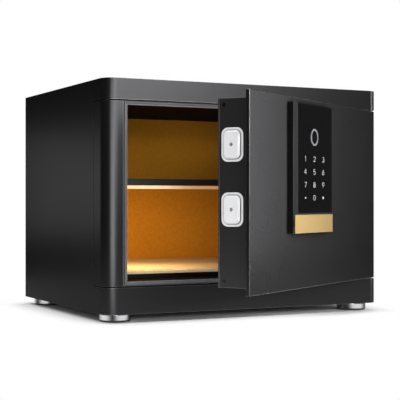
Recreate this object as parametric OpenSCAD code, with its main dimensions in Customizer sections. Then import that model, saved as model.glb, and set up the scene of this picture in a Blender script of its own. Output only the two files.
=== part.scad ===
// Electronic safe for the home: a steel body with wrapped front corners, a hinged door
// with two motor-driven bolts and a touch panel, one shelf, a lamp and a soft floor mat.
// The origin is on the underside of the body, at the centre of the four anchor holes.
// X runs to the right, Y to the back and Z up. The door is drawn partly open.

/* [Body] */
// Outside width
body_w = 380; // [350:1:460]
// Outside depth, without the control panel
body_d = 294; // [260:1:380]
// Height of the steel body, without its feet
body_h = 273; // [262:1:380]
// Radius of the upright front corners
corner_r = 16; // [15:0.5:18]
// Steel sheet of the body
sheet_t = 2; // [1.5:0.1:2.5]
// Height of the band across the top
top_band_h = 24.5; // [20:0.5:30]
// Height of the band across the bottom
bottom_band_h = 31; // [26:0.5:36]
// Seam between the bands, the side panels and what stands between them
seam = 1.3; // [0.8:0.1:2]
// How far the pillar and the door wrap round to the side
wrap_d = 36.5; // [34:0.5:40]
// Radius of the wrapped corners, seen from the side
wrap_r = 5; // [3:0.5:10]
// Width of the fixed pillar, seen from the front
pillar_w = 22.6; // [20:0.1:26]

/* [Doorway] */
// Depth from the front of the body to the door frame
frame_y = 8; // [7:0.5:10]
// Depth of the door frame
frame_d = 42; // [40:1:60]
// Sheet of the frame, the pans and the shelf
thin_t = 1.5; // [1:0.1:2]
// Face width of the trim strips
trim_w = 5.2; // [4:0.1:5.4]
// Thickness of a trim strip at its inner edge
trim_low = 0.6; // [0.4:0.1:1]
// Thickness of a trim strip at its outer edge
trim_high = 2.4; // [1.5:0.1:2.5]
// Pillar to clear opening
jamb_w = 8.4; // [7:0.1:10]
// Bottom band to clear opening
sill_h = 6.4; // [5.5:0.1:8]
// Clear opening to top band
lintel_h = 5.5; // [5.5:0.1:8]
// Width of the bay beside the opening in which the door's wrapped end turns
bay_w = 46; // [45:1:60]

/* [Anchors] */
// Radius of the anchor holes in the underside and the back
anchor_r = 6; // [4:0.5:8]
// Spacing of the floor anchors, side to side
anchor_x = 240; // [160:5:260]
// Spacing of the floor anchors, front to back
anchor_y = 130; // [100:5:150]
// Spacing of the two wall anchors
wall_anchor_x = 240; // [160:5:280]
// Top of the body to the middle of the wall anchors
wall_anchor_drop = 58; // [45:1:80]

/* [Feet] */
// Radius of a foot
foot_r = 19; // [15:0.5:22]
// Height of the plated cup
cup_h = 7.5; // [6:0.5:10]
// Height of the rubber pad below the cup
pad_h = 2.5; // [2:0.1:4]
// Foot centre to the side of the body
foot_side = 24; // [23:1:40]
// Foot centre to the front of the body
foot_front = 28; // [26:1:40]
// Foot centre to the back of the body
foot_rear = 24; // [24:1:40]

/* [Interior] */
// Thickness of the fabric-faced liner boards
liner_t = 3; // [2:0.5:5]
// Height of the raised floor above the underside
floor_z = 43; // [40:0.5:50]
// Gap between the door frame and the ceiling pan
ceiling_gap = 0.5; // [0.1:0.1:3]
// Thickness of the floor mat
mat_t = 5; // [3:0.5:6]
// Gap around the mat
mat_gap = 1.2; // [0.5:0.1:3]
// Height of the top of the shelf above the underside
shelf_z = 158; // [130:1:180]
// Height of the lip round the shelf
lip_h = 8; // [6:0.5:14]
// Front of the body to the front of the shelf
shelf_y = 57; // [56:1:100]
// Gap at each end of the shelf
shelf_gap = 0.4; // [0.3:0.1:1]
// Width of the ledge that carries the shelf
rail_w = 10; // [6:1:16]
// Depth of the lamp under the shelf, front to back
lamp_d = 10; // [8:1:16]
// Width of the lamp
lamp_w = 320; // [200:5:330]
// Height of the lamp's diffuser below its channel
diffuser_h = 4; // [2:0.5:6]

/* [Door] */
// Opening angle in which the door is drawn
door_open = 33; // [10:1:90]
// Thickness of the door plate
door_t = 5; // [4:0.1:5.2]
// Gap between the pillar and the free edge of the door
door_gap = 1.4; // [1:0.1:2]
// Gap under the door
door_gap_low = 1.4; // [1.2:0.1:3]
// Gap over the door
door_gap_high = 1.6; // [1.5:0.1:4]
// Depth of the whole door, without the panel
door_depth = 44.5; // [44:0.5:46]
// Free edge of the plate to the inner box
box_inset = 12.5; // [11:0.5:15]
// Lower edge of the plate to the inner box
box_inset_low = 6.9; // [6:0.1:9]
// Upper edge of the plate to the inner box
box_inset_high = 7.1; // [4:0.1:9]
// Inner box to the hinge side of the opening
box_gap = 4; // [3.5:0.5:8]
// Radius of the hinge pins
pin_r = 4; // [3:0.1:5]
// Height of the hinge blocks in the door
hinge_block_h = 12; // [8:1:20]
// Wall of the hinge bushes
bush_t = 2; // [1:0.1:3]
// Radial clearance between a pin and its bush
pin_run = 0.05; // [0.02:0.01:0.1]

/* [Bolts] */
// Depth of the bolts behind the front of the door
bolt_y = 27; // [26:0.5:28]
// Upper edge of the door to the middle of the upper bolt
bolt_drop_high = 56.4; // [50:0.1:58]
// Upper edge of the door to the middle of the lower bolt
bolt_drop_low = 124.9; // [122:0.1:128]
// Thickness of a bolt
bolt_w = 20; // [17:0.5:21]
// Height of a bolt
bolt_h = 30; // [24:0.5:32]
// Radius of the bolt's long edges
bolt_r = 5.5; // [2:0.5:7]
// Length of a bolt
bolt_l = 46; // [42:1:50]
// Drawn-in bolt end to the edge of the inner box
bolt_proud = 4; // [3:0.1:4.4]
// Travel of the bolts
bolt_throw = 18; // [10:1:18]
// Width of a bolt collar's border
collar_b = 3; // [2.5:0.1:4]
// Thickness of a bolt collar in front of the box
collar_t = 1.2; // [0.8:0.1:1.6]
// Clearance round a bolt in its collar
bolt_gap = 0.3; // [0.2:0.05:0.5]
// Thickness of the plate that carries the bolts
carriage_t = 3; // [2:0.1:4]
// Radius of the guide studs
stud_r = 3; // [2.5:0.1:3.5]
// Module of the rack and pinion
gear_m = 1.25; // [1:0.05:1.3]
// Teeth of the pinion
pinion_n = 12; // [12:1:13]
// Play between rack and pinion teeth
tooth_play = 0.16; // [0.1:0.01:0.3]

/* [Panel] */
// Width of the control panel
panel_w = 102; // [90:1:112]
// Height of the control panel
panel_h = 146; // [140:1:150]
// Thickness of the control panel
panel_t = 6.4; // [6:0.1:9]
// Free edge of the door to the panel
panel_x = 93.5; // [90:0.5:100]
// Upper edge of the door to the panel
panel_top = 5.9; // [3:0.1:12]
// Width of the panel's sloping left edge
bevel_w = 8.4; // [4:0.1:10]
// Depth of the panel's sloping left edge
bevel_d = 1.6; // [1:0.1:2.4]
// Width of the rim round the touch glass
rim_w = 1.2; // [0.8:0.1:2]
// Radius of the fingerprint ring
ring_r = 9.5; // [8:0.5:11]
// Width of the fingerprint ring's band
ring_b = 1.9; // [1.5:0.1:3]
// Upper edge of the panel to the middle of the ring
ring_drop = 37.5; // [30:0.5:45]
// Height of the sliding key cover
cover_h = 21; // [20:0.5:24]
// Travel of the key cover
cover_travel = 34; // [24:1:36]
// Left end of the panel to the middle of the key cylinder
key_x = 16; // [14:0.5:17]
// Radius of the key cylinder
key_r = 8; // [7:0.1:8.5]
// Radius of the turning plug in the key cylinder
plug_r = 5.5; // [4.5:0.1:6]

/* [Battery] */
// Radius of a round cell
cell_r = 7.25; // [5:0.05:7.25]
// Length of a cell
cell_l = 50.5; // [44:0.5:51]
// Number of cells
cell_n = 4; // [2:1:4]
// Wall of the battery tray
tray_t = 1.5; // [1:0.1:2]
// Thickness of the battery lid
lid_t = 1.8; // [1.2:0.1:2]

/* [Hidden] */
$fn = 64;

// Body colours
coat = [0.13, 0.13, 0.135];
inside_black = [0.06, 0.06, 0.06];
tan_cloth = [0.62, 0.36, 0.12];
plated = [0.8, 0.8, 0.82];
steel = [0.55, 0.56, 0.58];

// Fixed places, measured from the left, front and underside of the body
eps = 0.01;
band_lo = bottom_band_h;
band_hi = body_h - top_band_h;
in_x0 = sheet_t;
in_x1 = body_w - sheet_t;
in_y1 = body_d - sheet_t;
frame_back = frame_y + frame_d;
open_x0 = pillar_w + jamb_w;
open_x1 = body_w - bay_w;
open_z0 = band_lo + sill_h;
open_z1 = band_hi - lintel_h;
ceiling_z = band_hi + ceiling_gap;
wall_anchor_z = body_h - wall_anchor_drop;
anchor_clear = 4;
jamb_slot_gap = 1.5;
pivot = [body_w - corner_r, corner_r];
tail_swing = norm([corner_r, wrap_d - corner_r]);
swing_gap = 0.3;
notch_y = corner_r + sqrt(pow(tail_swing + swing_gap, 2) - pow(corner_r - sheet_t, 2));
mitre_gap = 0.1;
liner_y = in_y1 - liner_t;
liner_x0 = in_x0 + liner_t;
liner_x1 = in_x1 - liner_t;
shelf_x0 = liner_x0 + shelf_gap;
shelf_x1 = liner_x1 - shelf_gap;
rail_z = shelf_z - lip_h;
rail_front_in = 10;
rail_back_in = 8;
lamp_y = shelf_y + 2 * thin_t;
hinge_plate_t = 4;
pin_head_h = 2;
pin_head_r = pin_r + 2;
pin_end = 1;
washer_w = 5;
washer_play = 0.05;
fixed_fit = 0.03;
foot_screw_r = 3;
foot_head_r = 5.5;
foot_bore_r = foot_screw_r + fixed_fit;
cup_wall = 1.2;
cup_edge = 1.6;
pad_floor = 3.4;

// Door places, measured on the closed door
door_x0 = pillar_w + door_gap;
door_z0 = band_lo + door_gap_low;
door_z1 = band_hi - door_gap_high;
box_x0 = door_x0 + box_inset;
box_x1 = open_x1 - box_gap;
box_z0 = door_z0 + box_inset_low;
box_z1 = door_z1 - box_inset_high;
cover_y = door_depth - thin_t;
screw_in = 7;
screw_d = 6;
small_screw_r = 1.5;
edge_screw_l = 3;
edge_head_r = 2.6;
edge_head_t = 0.8;
rear_screw_side = 8;
rear_screw_edge = 4.5;
rear_head_r = 2.8;
rear_head_t = 1;
rear_boss_r = 3;
rear_boss_l = 8;
bolt_tip = box_x0 - bolt_proud;
bolt_front = bolt_y - bolt_w / 2;
bolt_zs = [door_z1 - bolt_drop_low, door_z1 - bolt_drop_high];
bolt_mid = (bolt_zs[0] + bolt_zs[1]) / 2;

// Bolt work
sleeve_l = 6;
sleeve_t = 1.6;
carriage_x0 = box_x0 + sleeve_l + bolt_throw + 1;
slot_play = 0.2;
slot_edge = 5;
stud_x = carriage_x0 + stud_r + slot_edge;
carriage_w = 2 * (stud_r + slot_edge) + bolt_throw;
stud_dz = 12;
stud_head_r = stud_r + 2;
stud_head_t = 2;
gear_r = gear_m * pinion_n / 2;
gear_angle = 20;
rack_addendum = 0.68 * gear_m;
dedendum = 1.25 * gear_m;
pinion_x = carriage_x0 + carriage_w + gear_r + 6;
pinion_z = bolt_mid - gear_r - 3;
pinion_t = carriage_t + 2;
pinion_y = bolt_front - carriage_t - 1;
shaft_r = 2.5;
rack_z = pinion_z + gear_r;
rack_arm_h = 10;
rack_pitch = PI * gear_m;
rack_count = ceil((bolt_throw + 4 * gear_m) / rack_pitch) + 1;
rack_x1 = pinion_x + rack_count * rack_pitch;
gearbox_w = 42;
gearbox_h = 32;
gearbox_d = 16;
gearbox_left = 12;
gearbox_front = 7;
gearbox_low = 18;
gearbox_corner_r = 3;
shaft_l = 6;
shaft_end = 0.5;
shaft_run = 0.05;
gearbox_x = pinion_x - gearbox_left;
gearbox_y = bolt_y - gearbox_front;
gearbox_z = pinion_z - gearbox_low;
post_r = 3;
post_in = 5;
motor_r = 8;
motor_l = 27;
motor_cap_r = 3;
motor_cap_l = 2;

// Panel places
panel_x0 = door_x0 + panel_x;
panel_x1 = panel_x0 + panel_w;
panel_z1 = door_z1 - panel_top;
panel_z0 = panel_z1 - panel_h;
cover_z1 = panel_z0 + cover_h;
cheek_t = 1;
cover_gap = 0.4;
cover_over = 1;
cover_base_t = 2.6;
cover_run = 0.3;
rail_stem = 5;
rail_head = 9;
rail_head_t = 1.2;
rail_stem_t = 1;
glass_t = 1.4;
glass_gap = 0.2;
ring_x = panel_x0 + panel_w / 2;
ring_z = panel_z1 - ring_drop;
ring_proud = 0.8;
keyhole_x = panel_x0 + key_x;
keyhole_z = panel_z0 + cover_h / 2;
key_end = 26;
cam_t = 3;
cam_l = 15;
cam_w = 9;
plug_run = 0.05;
nut_t = 4;
nut_r = 12;

// Electronics places
board_w = 84;
board_h = 62;
board_side = 24;
board_drop = 27.8;
board_x0 = box_x1 - board_side - board_w;
board_z0 = box_z1 - board_drop - board_h;
board_t = 1.6;
board_y = door_t + 9;
board_in = 4;
board_post_r = 2.5;
part_gap = 6;
chip_s = 16;
chip_t = 2;
driver_w = 9;
driver_h = 12;
driver_t = 1.6;
socket_w = 14;
socket_h = 8;
socket_t = 6;
relay_w = 12;
relay_h = 10;
relay_t = 8;
capacitor_r = 4;
capacitor_l = 9;
cell_space = 0.6;
cell_cap_r = 2.7;
cell_cap_l = 1.5;
tray_w = cell_n * (2 * cell_r + cell_space) + 2 * tray_t;
tray_h = cell_l + 3 + 2 * tray_t;
tray_run = 106;
tray_rise = 21.7;
tray_x0 = box_x1 - tray_run;
tray_z0 = box_z0 + tray_rise;
tray_y = cover_y - 2 * cell_r - 2.2;
lid_gap = 0.3;
lid_lap = 4;
lid_pin_r = 1.2;
ear_in = 5;
ear_t = 2.4;
ear_r = 2.2;
ear_flat = 0.4;
lid_pin_z = tray_z0 - 4;
lid_pin_y = door_depth + 1.6;
button_side = 28;
button_rise = 29;
button_x = tray_x0 - button_side;
button_z = tray_z0 + button_rise;
button_r = 3.5;
button_run = 0.1;
flange_t = 1.2;
flange_gap = 0.3;
button_proud = 1.4;
button_travel = 1.2;
switch_s = 12;
switch_t = 5;

// Put children that are measured on the body at the origin of the part
module in_body() {
    translate([-body_w / 2, -body_d / 2, 0]) children();
}

// Put children that are measured on the closed door where the open door holds them
module in_door() {
    in_body()
        translate([pivot[0], pivot[1], 0])
            rotate([0, 0, door_open])
                translate([-pivot[0], -pivot[1], 0]) children();
}

// A plate from one corner to the other
module plate(lo, hi) {
    translate(lo) cube(hi - lo);
}

// A rectangle with round corners, centred
module rounded_rect(w, h, r) {
    square([w - 2 * r, h], center = true);
    square([w, h - 2 * r], center = true);
    for (sx = [-1, 1], sy = [-1, 1])
        translate([sx * (w / 2 - r), sy * (h / 2 - r)]) circle(r);
}

// A prism along Y of what is drawn in X and Z, from y0 to y1
module along_y(y0, y1) {
    translate([0, y1, 0]) rotate([90, 0, 0]) linear_extrude(y1 - y0) children();
}

// A prism along X of what is drawn in Y and Z, from x0 to x1
module along_x(x0, x1) {
    translate([x0, 0, 0]) rotate([90, 0, 90]) linear_extrude(x1 - x0) children();
}

// A round pin or cutter along Y
module rod_y(x, z, y0, y1, r) {
    translate([x, y1, z]) rotate([90, 0, 0]) cylinder(r = r, h = y1 - y0);
}

// A round pin or cutter along X
module rod_x(y, z, x0, x1, r) {
    translate([x0, y, z]) rotate([0, 90, 0]) cylinder(r = r, h = x1 - x0);
}

// Footprint of the body, with round front corners, drawn in by a margin
module footprint(margin) {
    r = corner_r - margin;
    translate([margin, corner_r])
        square([body_w - 2 * margin, body_d - corner_r - margin]);
    translate([corner_r, margin])
        square([body_w - 2 * corner_r, corner_r]);
    for (x = [corner_r, body_w - corner_r])
        translate([x, corner_r]) circle(r);
}

// A quarter of a ring round a front corner, whose centre is at x
module corner_ring(x, right, t) {
    translate([x, corner_r])
        intersection() {
            difference() {
                circle(corner_r);
                circle(corner_r - t);
            }
            translate([right ? 0 : -corner_r, -corner_r]) square(corner_r);
        }
}

// The wrapped shape that the pillar and the door share, seen from above
module wrap_profile(right, front_end, t) {
    x = right ? body_w - corner_r : corner_r;
    corner_ring(x, right, t);
    translate([right ? body_w - t : 0, corner_r]) square([t, wrap_d - corner_r]);
    translate([min(x, front_end), 0]) square([abs(front_end - x), t]);
}

// Rounds the two corners at the back end of a wrapped shape
module wrap_corners(x0, x1, z0, z1) {
    for (up = [0, 1])
        difference() {
            along_x(x0 - 1, x1 + 1)
                translate([wrap_d - wrap_r, up ? z1 - wrap_r : z0 - 1])
                    square([wrap_r + 1, wrap_r + 1]);
            rod_x(wrap_d - wrap_r, up ? z1 - wrap_r : z0 + wrap_r, x0 - 2, x1 + 2, wrap_r);
        }
}

// Body panels

module floor_panel() {
    color(coat) in_body() difference() {
        linear_extrude(sheet_t) footprint(0);
        anchor_places() translate([0, 0, -1]) cylinder(r = anchor_r, h = sheet_t + 2);
        foot_places() translate([0, 0, -1]) cylinder(r = foot_bore_r, h = sheet_t + 2);
    }
}

module roof_panel() {
    color(coat) in_body() translate([0, 0, body_h - sheet_t]) linear_extrude(sheet_t) footprint(0);
}

module back_panel() {
    color(coat) in_body() difference() {
        plate([in_x0, in_y1, sheet_t], [in_x1, body_d, body_h - sheet_t]);
        for (s = [-1, 1])
            rod_y(body_w / 2 + s * wall_anchor_x / 2, wall_anchor_z, in_y1 - 1, body_d + 1, anchor_r);
    }
}

// A side panel has a notch in front, where the pillar or the door wraps round
module side_panel(x, notch) {
    notch_h = band_hi - band_lo;
    along_x(x, x + sheet_t)
        difference() {
            translate([corner_r, sheet_t]) square([body_d - corner_r, body_h - 2 * sheet_t]);
            translate([notch - notch_h / 2, band_lo + notch_h / 2])
                rounded_rect(notch_h, notch_h, wrap_r + seam);
        }
}

module left_side_panel() {
    color(coat) in_body() side_panel(0, wrap_d + seam);
}

module right_side_panel() {
    color(coat) in_body() side_panel(body_w - sheet_t, notch_y);
}

// A band is the front of the body's sheet, bent round both corners
module band(z0, z1) {
    translate([0, 0, z0]) linear_extrude(z1 - z0) {
        corner_ring(corner_r, false, sheet_t);
        corner_ring(body_w - corner_r, true, sheet_t);
        translate([corner_r, 0]) square([body_w - 2 * corner_r, sheet_t]);
    }
}

module top_band() {
    color(coat) in_body() band(band_hi, body_h - sheet_t);
}

module bottom_band() {
    color(coat) in_body() band(sheet_t, band_lo);
}

module left_pillar() {
    z0 = band_lo + seam;
    z1 = band_hi - seam;
    color(coat) in_body() difference() {
        translate([0, 0, z0]) linear_extrude(z1 - z0) {
            wrap_profile(false, pillar_w, sheet_t);
            translate([pillar_w - sheet_t, 0]) square([sheet_t, frame_y + thin_t]);
        }
        wrap_corners(0, sheet_t, z0, z1);
    }
}

// Door frame

// Two plates that close the bands towards the doorway
module frame_plates() {
    color(inside_black) in_body()
        for (z = [band_lo - sheet_t, band_hi])
            difference() {
                translate([0, 0, z]) linear_extrude(sheet_t)
                    intersection() {
                        footprint(sheet_t);
                        square([body_w, frame_back]);
                    }
                translate([pivot[0], pivot[1], z - 1])
                    cylinder(r = pin_r + fixed_fit, h = sheet_t + 2);
            }
}

// Two thick plates behind them, which hold the hinge pins
module hinge_plates() {
    color(steel) in_body()
        for (z = [band_lo - sheet_t - hinge_plate_t, band_hi + sheet_t])
            difference() {
                translate([0, 0, z]) linear_extrude(hinge_plate_t)
                    intersection() {
                        footprint(sheet_t);
                        translate([open_x1, 0]) square([bay_w, frame_back]);
                    }
                translate([pivot[0], pivot[1], z - 1])
                    cylinder(r = pin_r + fixed_fit, h = hinge_plate_t + 2);
            }
}

module left_jamb() {
    slot_w = bolt_w + 2 * jamb_slot_gap;
    slot_h = bolt_h + 2 * jamb_slot_gap;
    color(inside_black) in_body() difference() {
        translate([0, 0, band_lo]) linear_extrude(band_hi - band_lo) {
            translate([open_x0 - thin_t, frame_y]) square([thin_t, frame_d]);
            translate([pillar_w, frame_y]) square([jamb_w, thin_t]);
            translate([in_x0, frame_back - thin_t]) square([open_x0 - in_x0, thin_t]);
        }
        for (z = bolt_zs)
            along_x(open_x0 - thin_t - 1, open_x0 + 1)
                translate([bolt_y, z]) rounded_rect(slot_w, slot_h, bolt_r);
    }
}

module hinge_post() {
    color(inside_black) in_body()
        translate([0, 0, band_lo]) linear_extrude(band_hi - band_lo) {
            translate([open_x1, frame_y]) square([thin_t, frame_d]);
            translate([open_x1, frame_y]) square([trim_w, thin_t]);
            translate([open_x1, frame_back - thin_t]) square([in_x1 - open_x1, thin_t]);
        }
}

// A channel between jamb and post, with its two legs on a frame plate
module cross_channel(z_leg, z_web) {
    up = z_leg > z_web;
    z0 = min(z_leg, z_web);
    h = abs(z_leg - z_web);
    along_x(open_x0, open_x1) {
        translate([frame_y, up ? z_web : z_web - thin_t]) square([frame_d, thin_t]);
        for (y = [frame_y, frame_back - thin_t])
            translate([y, z0]) square([thin_t, h]);
    }
}

module sill_channel() {
    color(inside_black) in_body() cross_channel(band_lo, open_z0);
}

module lintel_channel() {
    color(inside_black) in_body() cross_channel(band_hi, open_z1);
}

// One trim strip at the distance d from the middle of the doorway and l long inside.
// It slopes back towards the opening, and both its ends are mitred
module trim_side(d, l) {
    half = l / 2 - mitre_gap;
    intersection() {
        translate([d, 0, -half - trim_w]) linear_extrude(2 * (half + trim_w)) polygon([
            [0, 0],
            [trim_w, 0],
            [trim_w, -trim_high],
            [trim_w - 0.6, -trim_high],
            [0, -trim_low]
        ]);
        along_y(-trim_high, 0) polygon([
            [d, -half],
            [d + trim_w, -half - trim_w],
            [d + trim_w, half + trim_w],
            [d, half]
        ]);
    }
}

module trim_frame() {
    w = open_x1 - open_x0;
    h = open_z1 - open_z0;
    color([0.32, 0.32, 0.33]) in_body()
        translate([open_x0 + w / 2, frame_y, open_z0 + h / 2])
            for (i = [0 : 3])
                rotate([0, 90 * i, 0]) trim_side(i % 2 == 0 ? w / 2 : h / 2, i % 2 == 0 ? h : w);
}

// Interior

module floor_pan() {
    y0 = frame_back;
    color(inside_black) in_body() difference() {
        plate([in_x0, y0, sheet_t], [in_x1, in_y1, floor_z]);
        plate([in_x0 + thin_t, y0 + thin_t, sheet_t - 1],
            [in_x1 - thin_t, in_y1 - thin_t, floor_z - thin_t]);
        anchor_places() translate([0, 0, floor_z - thin_t - 1])
            cylinder(r = anchor_r + anchor_clear, h = thin_t + 2);
    }
}

module ceiling_pan() {
    y0 = frame_back;
    z1 = body_h - sheet_t;
    color(inside_black) in_body() difference() {
        plate([in_x0, y0, ceiling_z], [in_x1, in_y1, z1]);
        plate([in_x0 + thin_t, y0 + thin_t, ceiling_z + thin_t],
            [in_x1 - thin_t, in_y1 - thin_t, z1 + 1]);
    }
}

module liner_back() {
    color(tan_cloth) in_body() difference() {
        plate([in_x0, liner_y, floor_z], [in_x1, in_y1, ceiling_z]);
        for (s = [-1, 1])
            rod_y(body_w / 2 + s * wall_anchor_x / 2, wall_anchor_z, liner_y - 1, in_y1 + 1,
                anchor_r + anchor_clear);
    }
}

module liner_left() {
    color(tan_cloth) in_body()
        plate([in_x0, frame_back, floor_z], [liner_x0, liner_y, ceiling_z]);
}

module liner_right() {
    color(tan_cloth) in_body()
        plate([liner_x1, frame_back, floor_z], [in_x1, liner_y, ceiling_z]);
}

module shelf() {
    color(inside_black) in_body() difference() {
        plate([shelf_x0, shelf_y, rail_z], [shelf_x1, liner_y, shelf_z]);
        plate([shelf_x0 + thin_t, shelf_y + thin_t, rail_z - 1],
            [shelf_x1 - thin_t, liner_y - thin_t, shelf_z - thin_t]);
    }
}

// One ledge on each side liner carries the shelf
module shelf_rails() {
    y0 = shelf_y + rail_front_in;
    y1 = liner_y - rail_back_in;
    color(inside_black) in_body()
        for (right = [0, 1])
            translate([right ? liner_x1 - rail_w : liner_x0, 0, 0]) {
                plate([0, y0, rail_z - thin_t], [rail_w, y1, rail_z]);
                plate([right ? rail_w - thin_t : 0, y0, rail_z - rail_w],
                    [right ? rail_w : thin_t, y1, rail_z - thin_t]);
            }
}

module lamp_channel() {
    x0 = (body_w - lamp_w) / 2;
    color([0.7, 0.7, 0.7]) in_body() difference() {
        plate([x0, lamp_y, rail_z], [x0 + lamp_w, lamp_y + lamp_d, shelf_z - thin_t]);
        plate([x0 - 1, lamp_y + 1, rail_z - 1], [x0 + lamp_w + 1, lamp_y + lamp_d - 1, shelf_z - 2 * thin_t]);
    }
}

module lamp_diffuser() {
    x0 = (body_w - lamp_w) / 2;
    r = diffuser_h / 2;
    y0 = lamp_y;
    y1 = lamp_y + lamp_d;
    color([1, 0.85, 0.6]) in_body() along_x(x0, x0 + lamp_w) {
        translate([y0, rail_z - diffuser_h + r]) square([lamp_d, r]);
        translate([y0 + r, rail_z - diffuser_h]) square([lamp_d - 2 * r, diffuser_h]);
        translate([y0 + r, rail_z - r]) circle(r);
        translate([y1 - r, rail_z - r]) circle(r);
    }
}

// The mat is soft, with a round front edge
module floor_mat() {
    x0 = liner_x0 + mat_gap;
    x1 = liner_x1 - mat_gap;
    y0 = frame_back + 0.5;
    y1 = liner_y - mat_gap;
    r = mat_t / 2;
    color([0.86, 0.76, 0.6]) in_body() along_x(x0, x1) {
        translate([y0 + r, floor_z]) square([y1 - y0 - r, mat_t]);
        translate([y0 + r, floor_z + r]) circle(r);
    }
}

// Feet and anchors

module foot_places() {
    for (x = [foot_side, body_w - foot_side], y = [foot_front, body_d - foot_rear])
        translate([x, y, 0]) children();
}

module anchor_places() {
    for (sx = [-1, 1], sy = [-1, 1])
        translate([body_w / 2 + sx * anchor_x / 2, body_d / 2 + sy * anchor_y / 2, 0]) children();
}

// A plated cup, turned over the rubber pad
module foot_cups() {
    color(plated) in_body() foot_places() rotate_extrude(convexity = 4) difference() {
        union() {
            translate([foot_bore_r, -cup_h]) square([foot_r - foot_bore_r, cup_h - cup_edge]);
            translate([foot_bore_r, -cup_edge - eps])
                square([foot_r - cup_edge - foot_bore_r, cup_edge + eps]);
            translate([foot_r - cup_edge, -cup_edge]) circle(cup_edge);
        }
        translate([0, -cup_h - 1]) square([foot_r - cup_wall, cup_h + 1 - cup_wall]);
    }
}

// The pad fills the cup and stands out below it, with a recess for the screw
module foot_pads() {
    r = foot_r - cup_wall - 0.1;
    bottom = -cup_h - pad_h;
    chamfer = 0.6;
    recess_r = foot_head_r + 0.3;
    color([0.05, 0.05, 0.05]) in_body() foot_places() rotate_extrude(convexity = 4) polygon([
        [foot_bore_r, -cup_wall],
        [r, -cup_wall],
        [r, bottom + chamfer],
        [r - chamfer, bottom],
        [recess_r, bottom],
        [recess_r, -cup_wall - pad_floor],
        [foot_bore_r, -cup_wall - pad_floor]
    ]);
}

module foot_screws() {
    head_h = 2.6;
    z = -cup_wall - pad_floor;
    nut_h = 4;
    color(steel) in_body() foot_places() {
        translate([0, 0, z]) cylinder(r = foot_screw_r, h = sheet_t + nut_h + 2 - z);
        translate([0, 0, z - head_h]) cylinder(r = foot_head_r, h = head_h);
        translate([0, 0, sheet_t]) cylinder(r = foot_head_r, h = nut_h, $fn = 6);
    }
}

// Hinge: two fixed pins, and bushes in blocks that are welded into the curl of the door

module hinge_pins() {
    low_z = band_lo - sheet_t - hinge_plate_t - pin_head_h;
    high_z = band_hi + sheet_t + hinge_plate_t + pin_head_h;
    color(plated) in_body() translate([pivot[0], pivot[1], 0]) {
        translate([0, 0, low_z]) cylinder(r = pin_head_r, h = pin_head_h);
        translate([0, 0, low_z]) cylinder(r = pin_r, h = door_z0 + hinge_block_h - pin_end - low_z);
        translate([0, 0, high_z - pin_head_h]) cylinder(r = pin_head_r, h = pin_head_h);
        translate([0, 0, door_z1 - hinge_block_h + pin_end])
            cylinder(r = pin_r, h = high_z - door_z1 + hinge_block_h - pin_end);
    }
}

module hinge_washer() {
    color([0.78, 0.65, 0.35]) in_body() translate([pivot[0], pivot[1], band_lo]) difference() {
        cylinder(r = pin_r + washer_w, h = door_gap_low - washer_play);
        translate([0, 0, -1]) cylinder(r = pin_r + 0.1, h = door_gap_low + 2);
    }
}

module hinge_blocks() {
    half = corner_r - door_t;
    color(steel) in_door()
        for (z = [door_z0, door_z1 - hinge_block_h])
            translate([pivot[0], pivot[1], z]) difference() {
                linear_extrude(hinge_block_h) {
                    translate([-half, -half]) square([half, 2 * half]);
                    translate([-half, 0]) square([2 * half, half]);
                    circle(half - 0.3);
                }
                translate([0, 0, -1])
                    cylinder(r = pin_r + pin_run + bush_t, h = hinge_block_h + 2);
            }
}

module hinge_bushes() {
    color([0.78, 0.65, 0.35]) in_door()
        for (z = [door_z0, door_z1 - hinge_block_h])
            translate([pivot[0], pivot[1], z]) difference() {
                cylinder(r = pin_r + pin_run + bush_t, h = hinge_block_h);
                translate([0, 0, -1]) cylinder(r = pin_r + pin_run, h = hinge_block_h + 2);
            }
}

// Door

// The door plate is bent round the hinge corner, like the pillar on the other side
module door_skin() {
    color([0.16, 0.16, 0.165]) in_door() difference() {
        translate([0, 0, door_z0]) linear_extrude(door_z1 - door_z0)
            wrap_profile(true, door_x0, door_t);
        wrap_corners(body_w - door_t, body_w, door_z0, door_z1);
        rod_y(keyhole_x, keyhole_z, -1, door_t + 1, key_r + 0.1);
    }
}

// Four walls behind the plate. The bolts pass through the wall at the free edge
module door_box() {
    color([0.15, 0.15, 0.155]) in_door() difference() {
        plate([box_x0, door_t, box_z0], [box_x1, cover_y, box_z1]);
        plate([box_x0 + thin_t, door_t - 1, box_z0 + thin_t],
            [box_x1 - thin_t, cover_y + 1, box_z1 - thin_t]);
        for (z = bolt_zs)
            along_x(box_x0 - 1, box_x0 + thin_t + 1)
                translate([bolt_y, z])
                    rounded_rect(bolt_w + 2 * sleeve_t + 0.4, bolt_h + 2 * sleeve_t + 0.4, bolt_r + 0.8);
        edge_screw_places() rod_x(0, 0, -1, thin_t + 1, small_screw_r + fixed_fit);
    }
}

module edge_screw_places() {
    for (z = [box_z0 + screw_in, box_z1 - screw_in])
        translate([box_x0, cover_y - screw_d, z]) children();
}

module edge_screws() {
    color(plated) in_door() edge_screw_places() {
        rod_x(0, 0, -edge_head_t, 0, edge_head_r);
        rod_x(0, 0, -edge_head_t / 2, thin_t + edge_screw_l, small_screw_r);
    }
}

module rear_screw_places() {
    for (x = [box_x0 + rear_screw_side, (box_x0 + box_x1) / 2, box_x1 - rear_screw_side],
        z = [box_z0 + rear_screw_edge, box_z1 - rear_screw_edge])
        translate([x, 0, z]) children();
}

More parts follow.
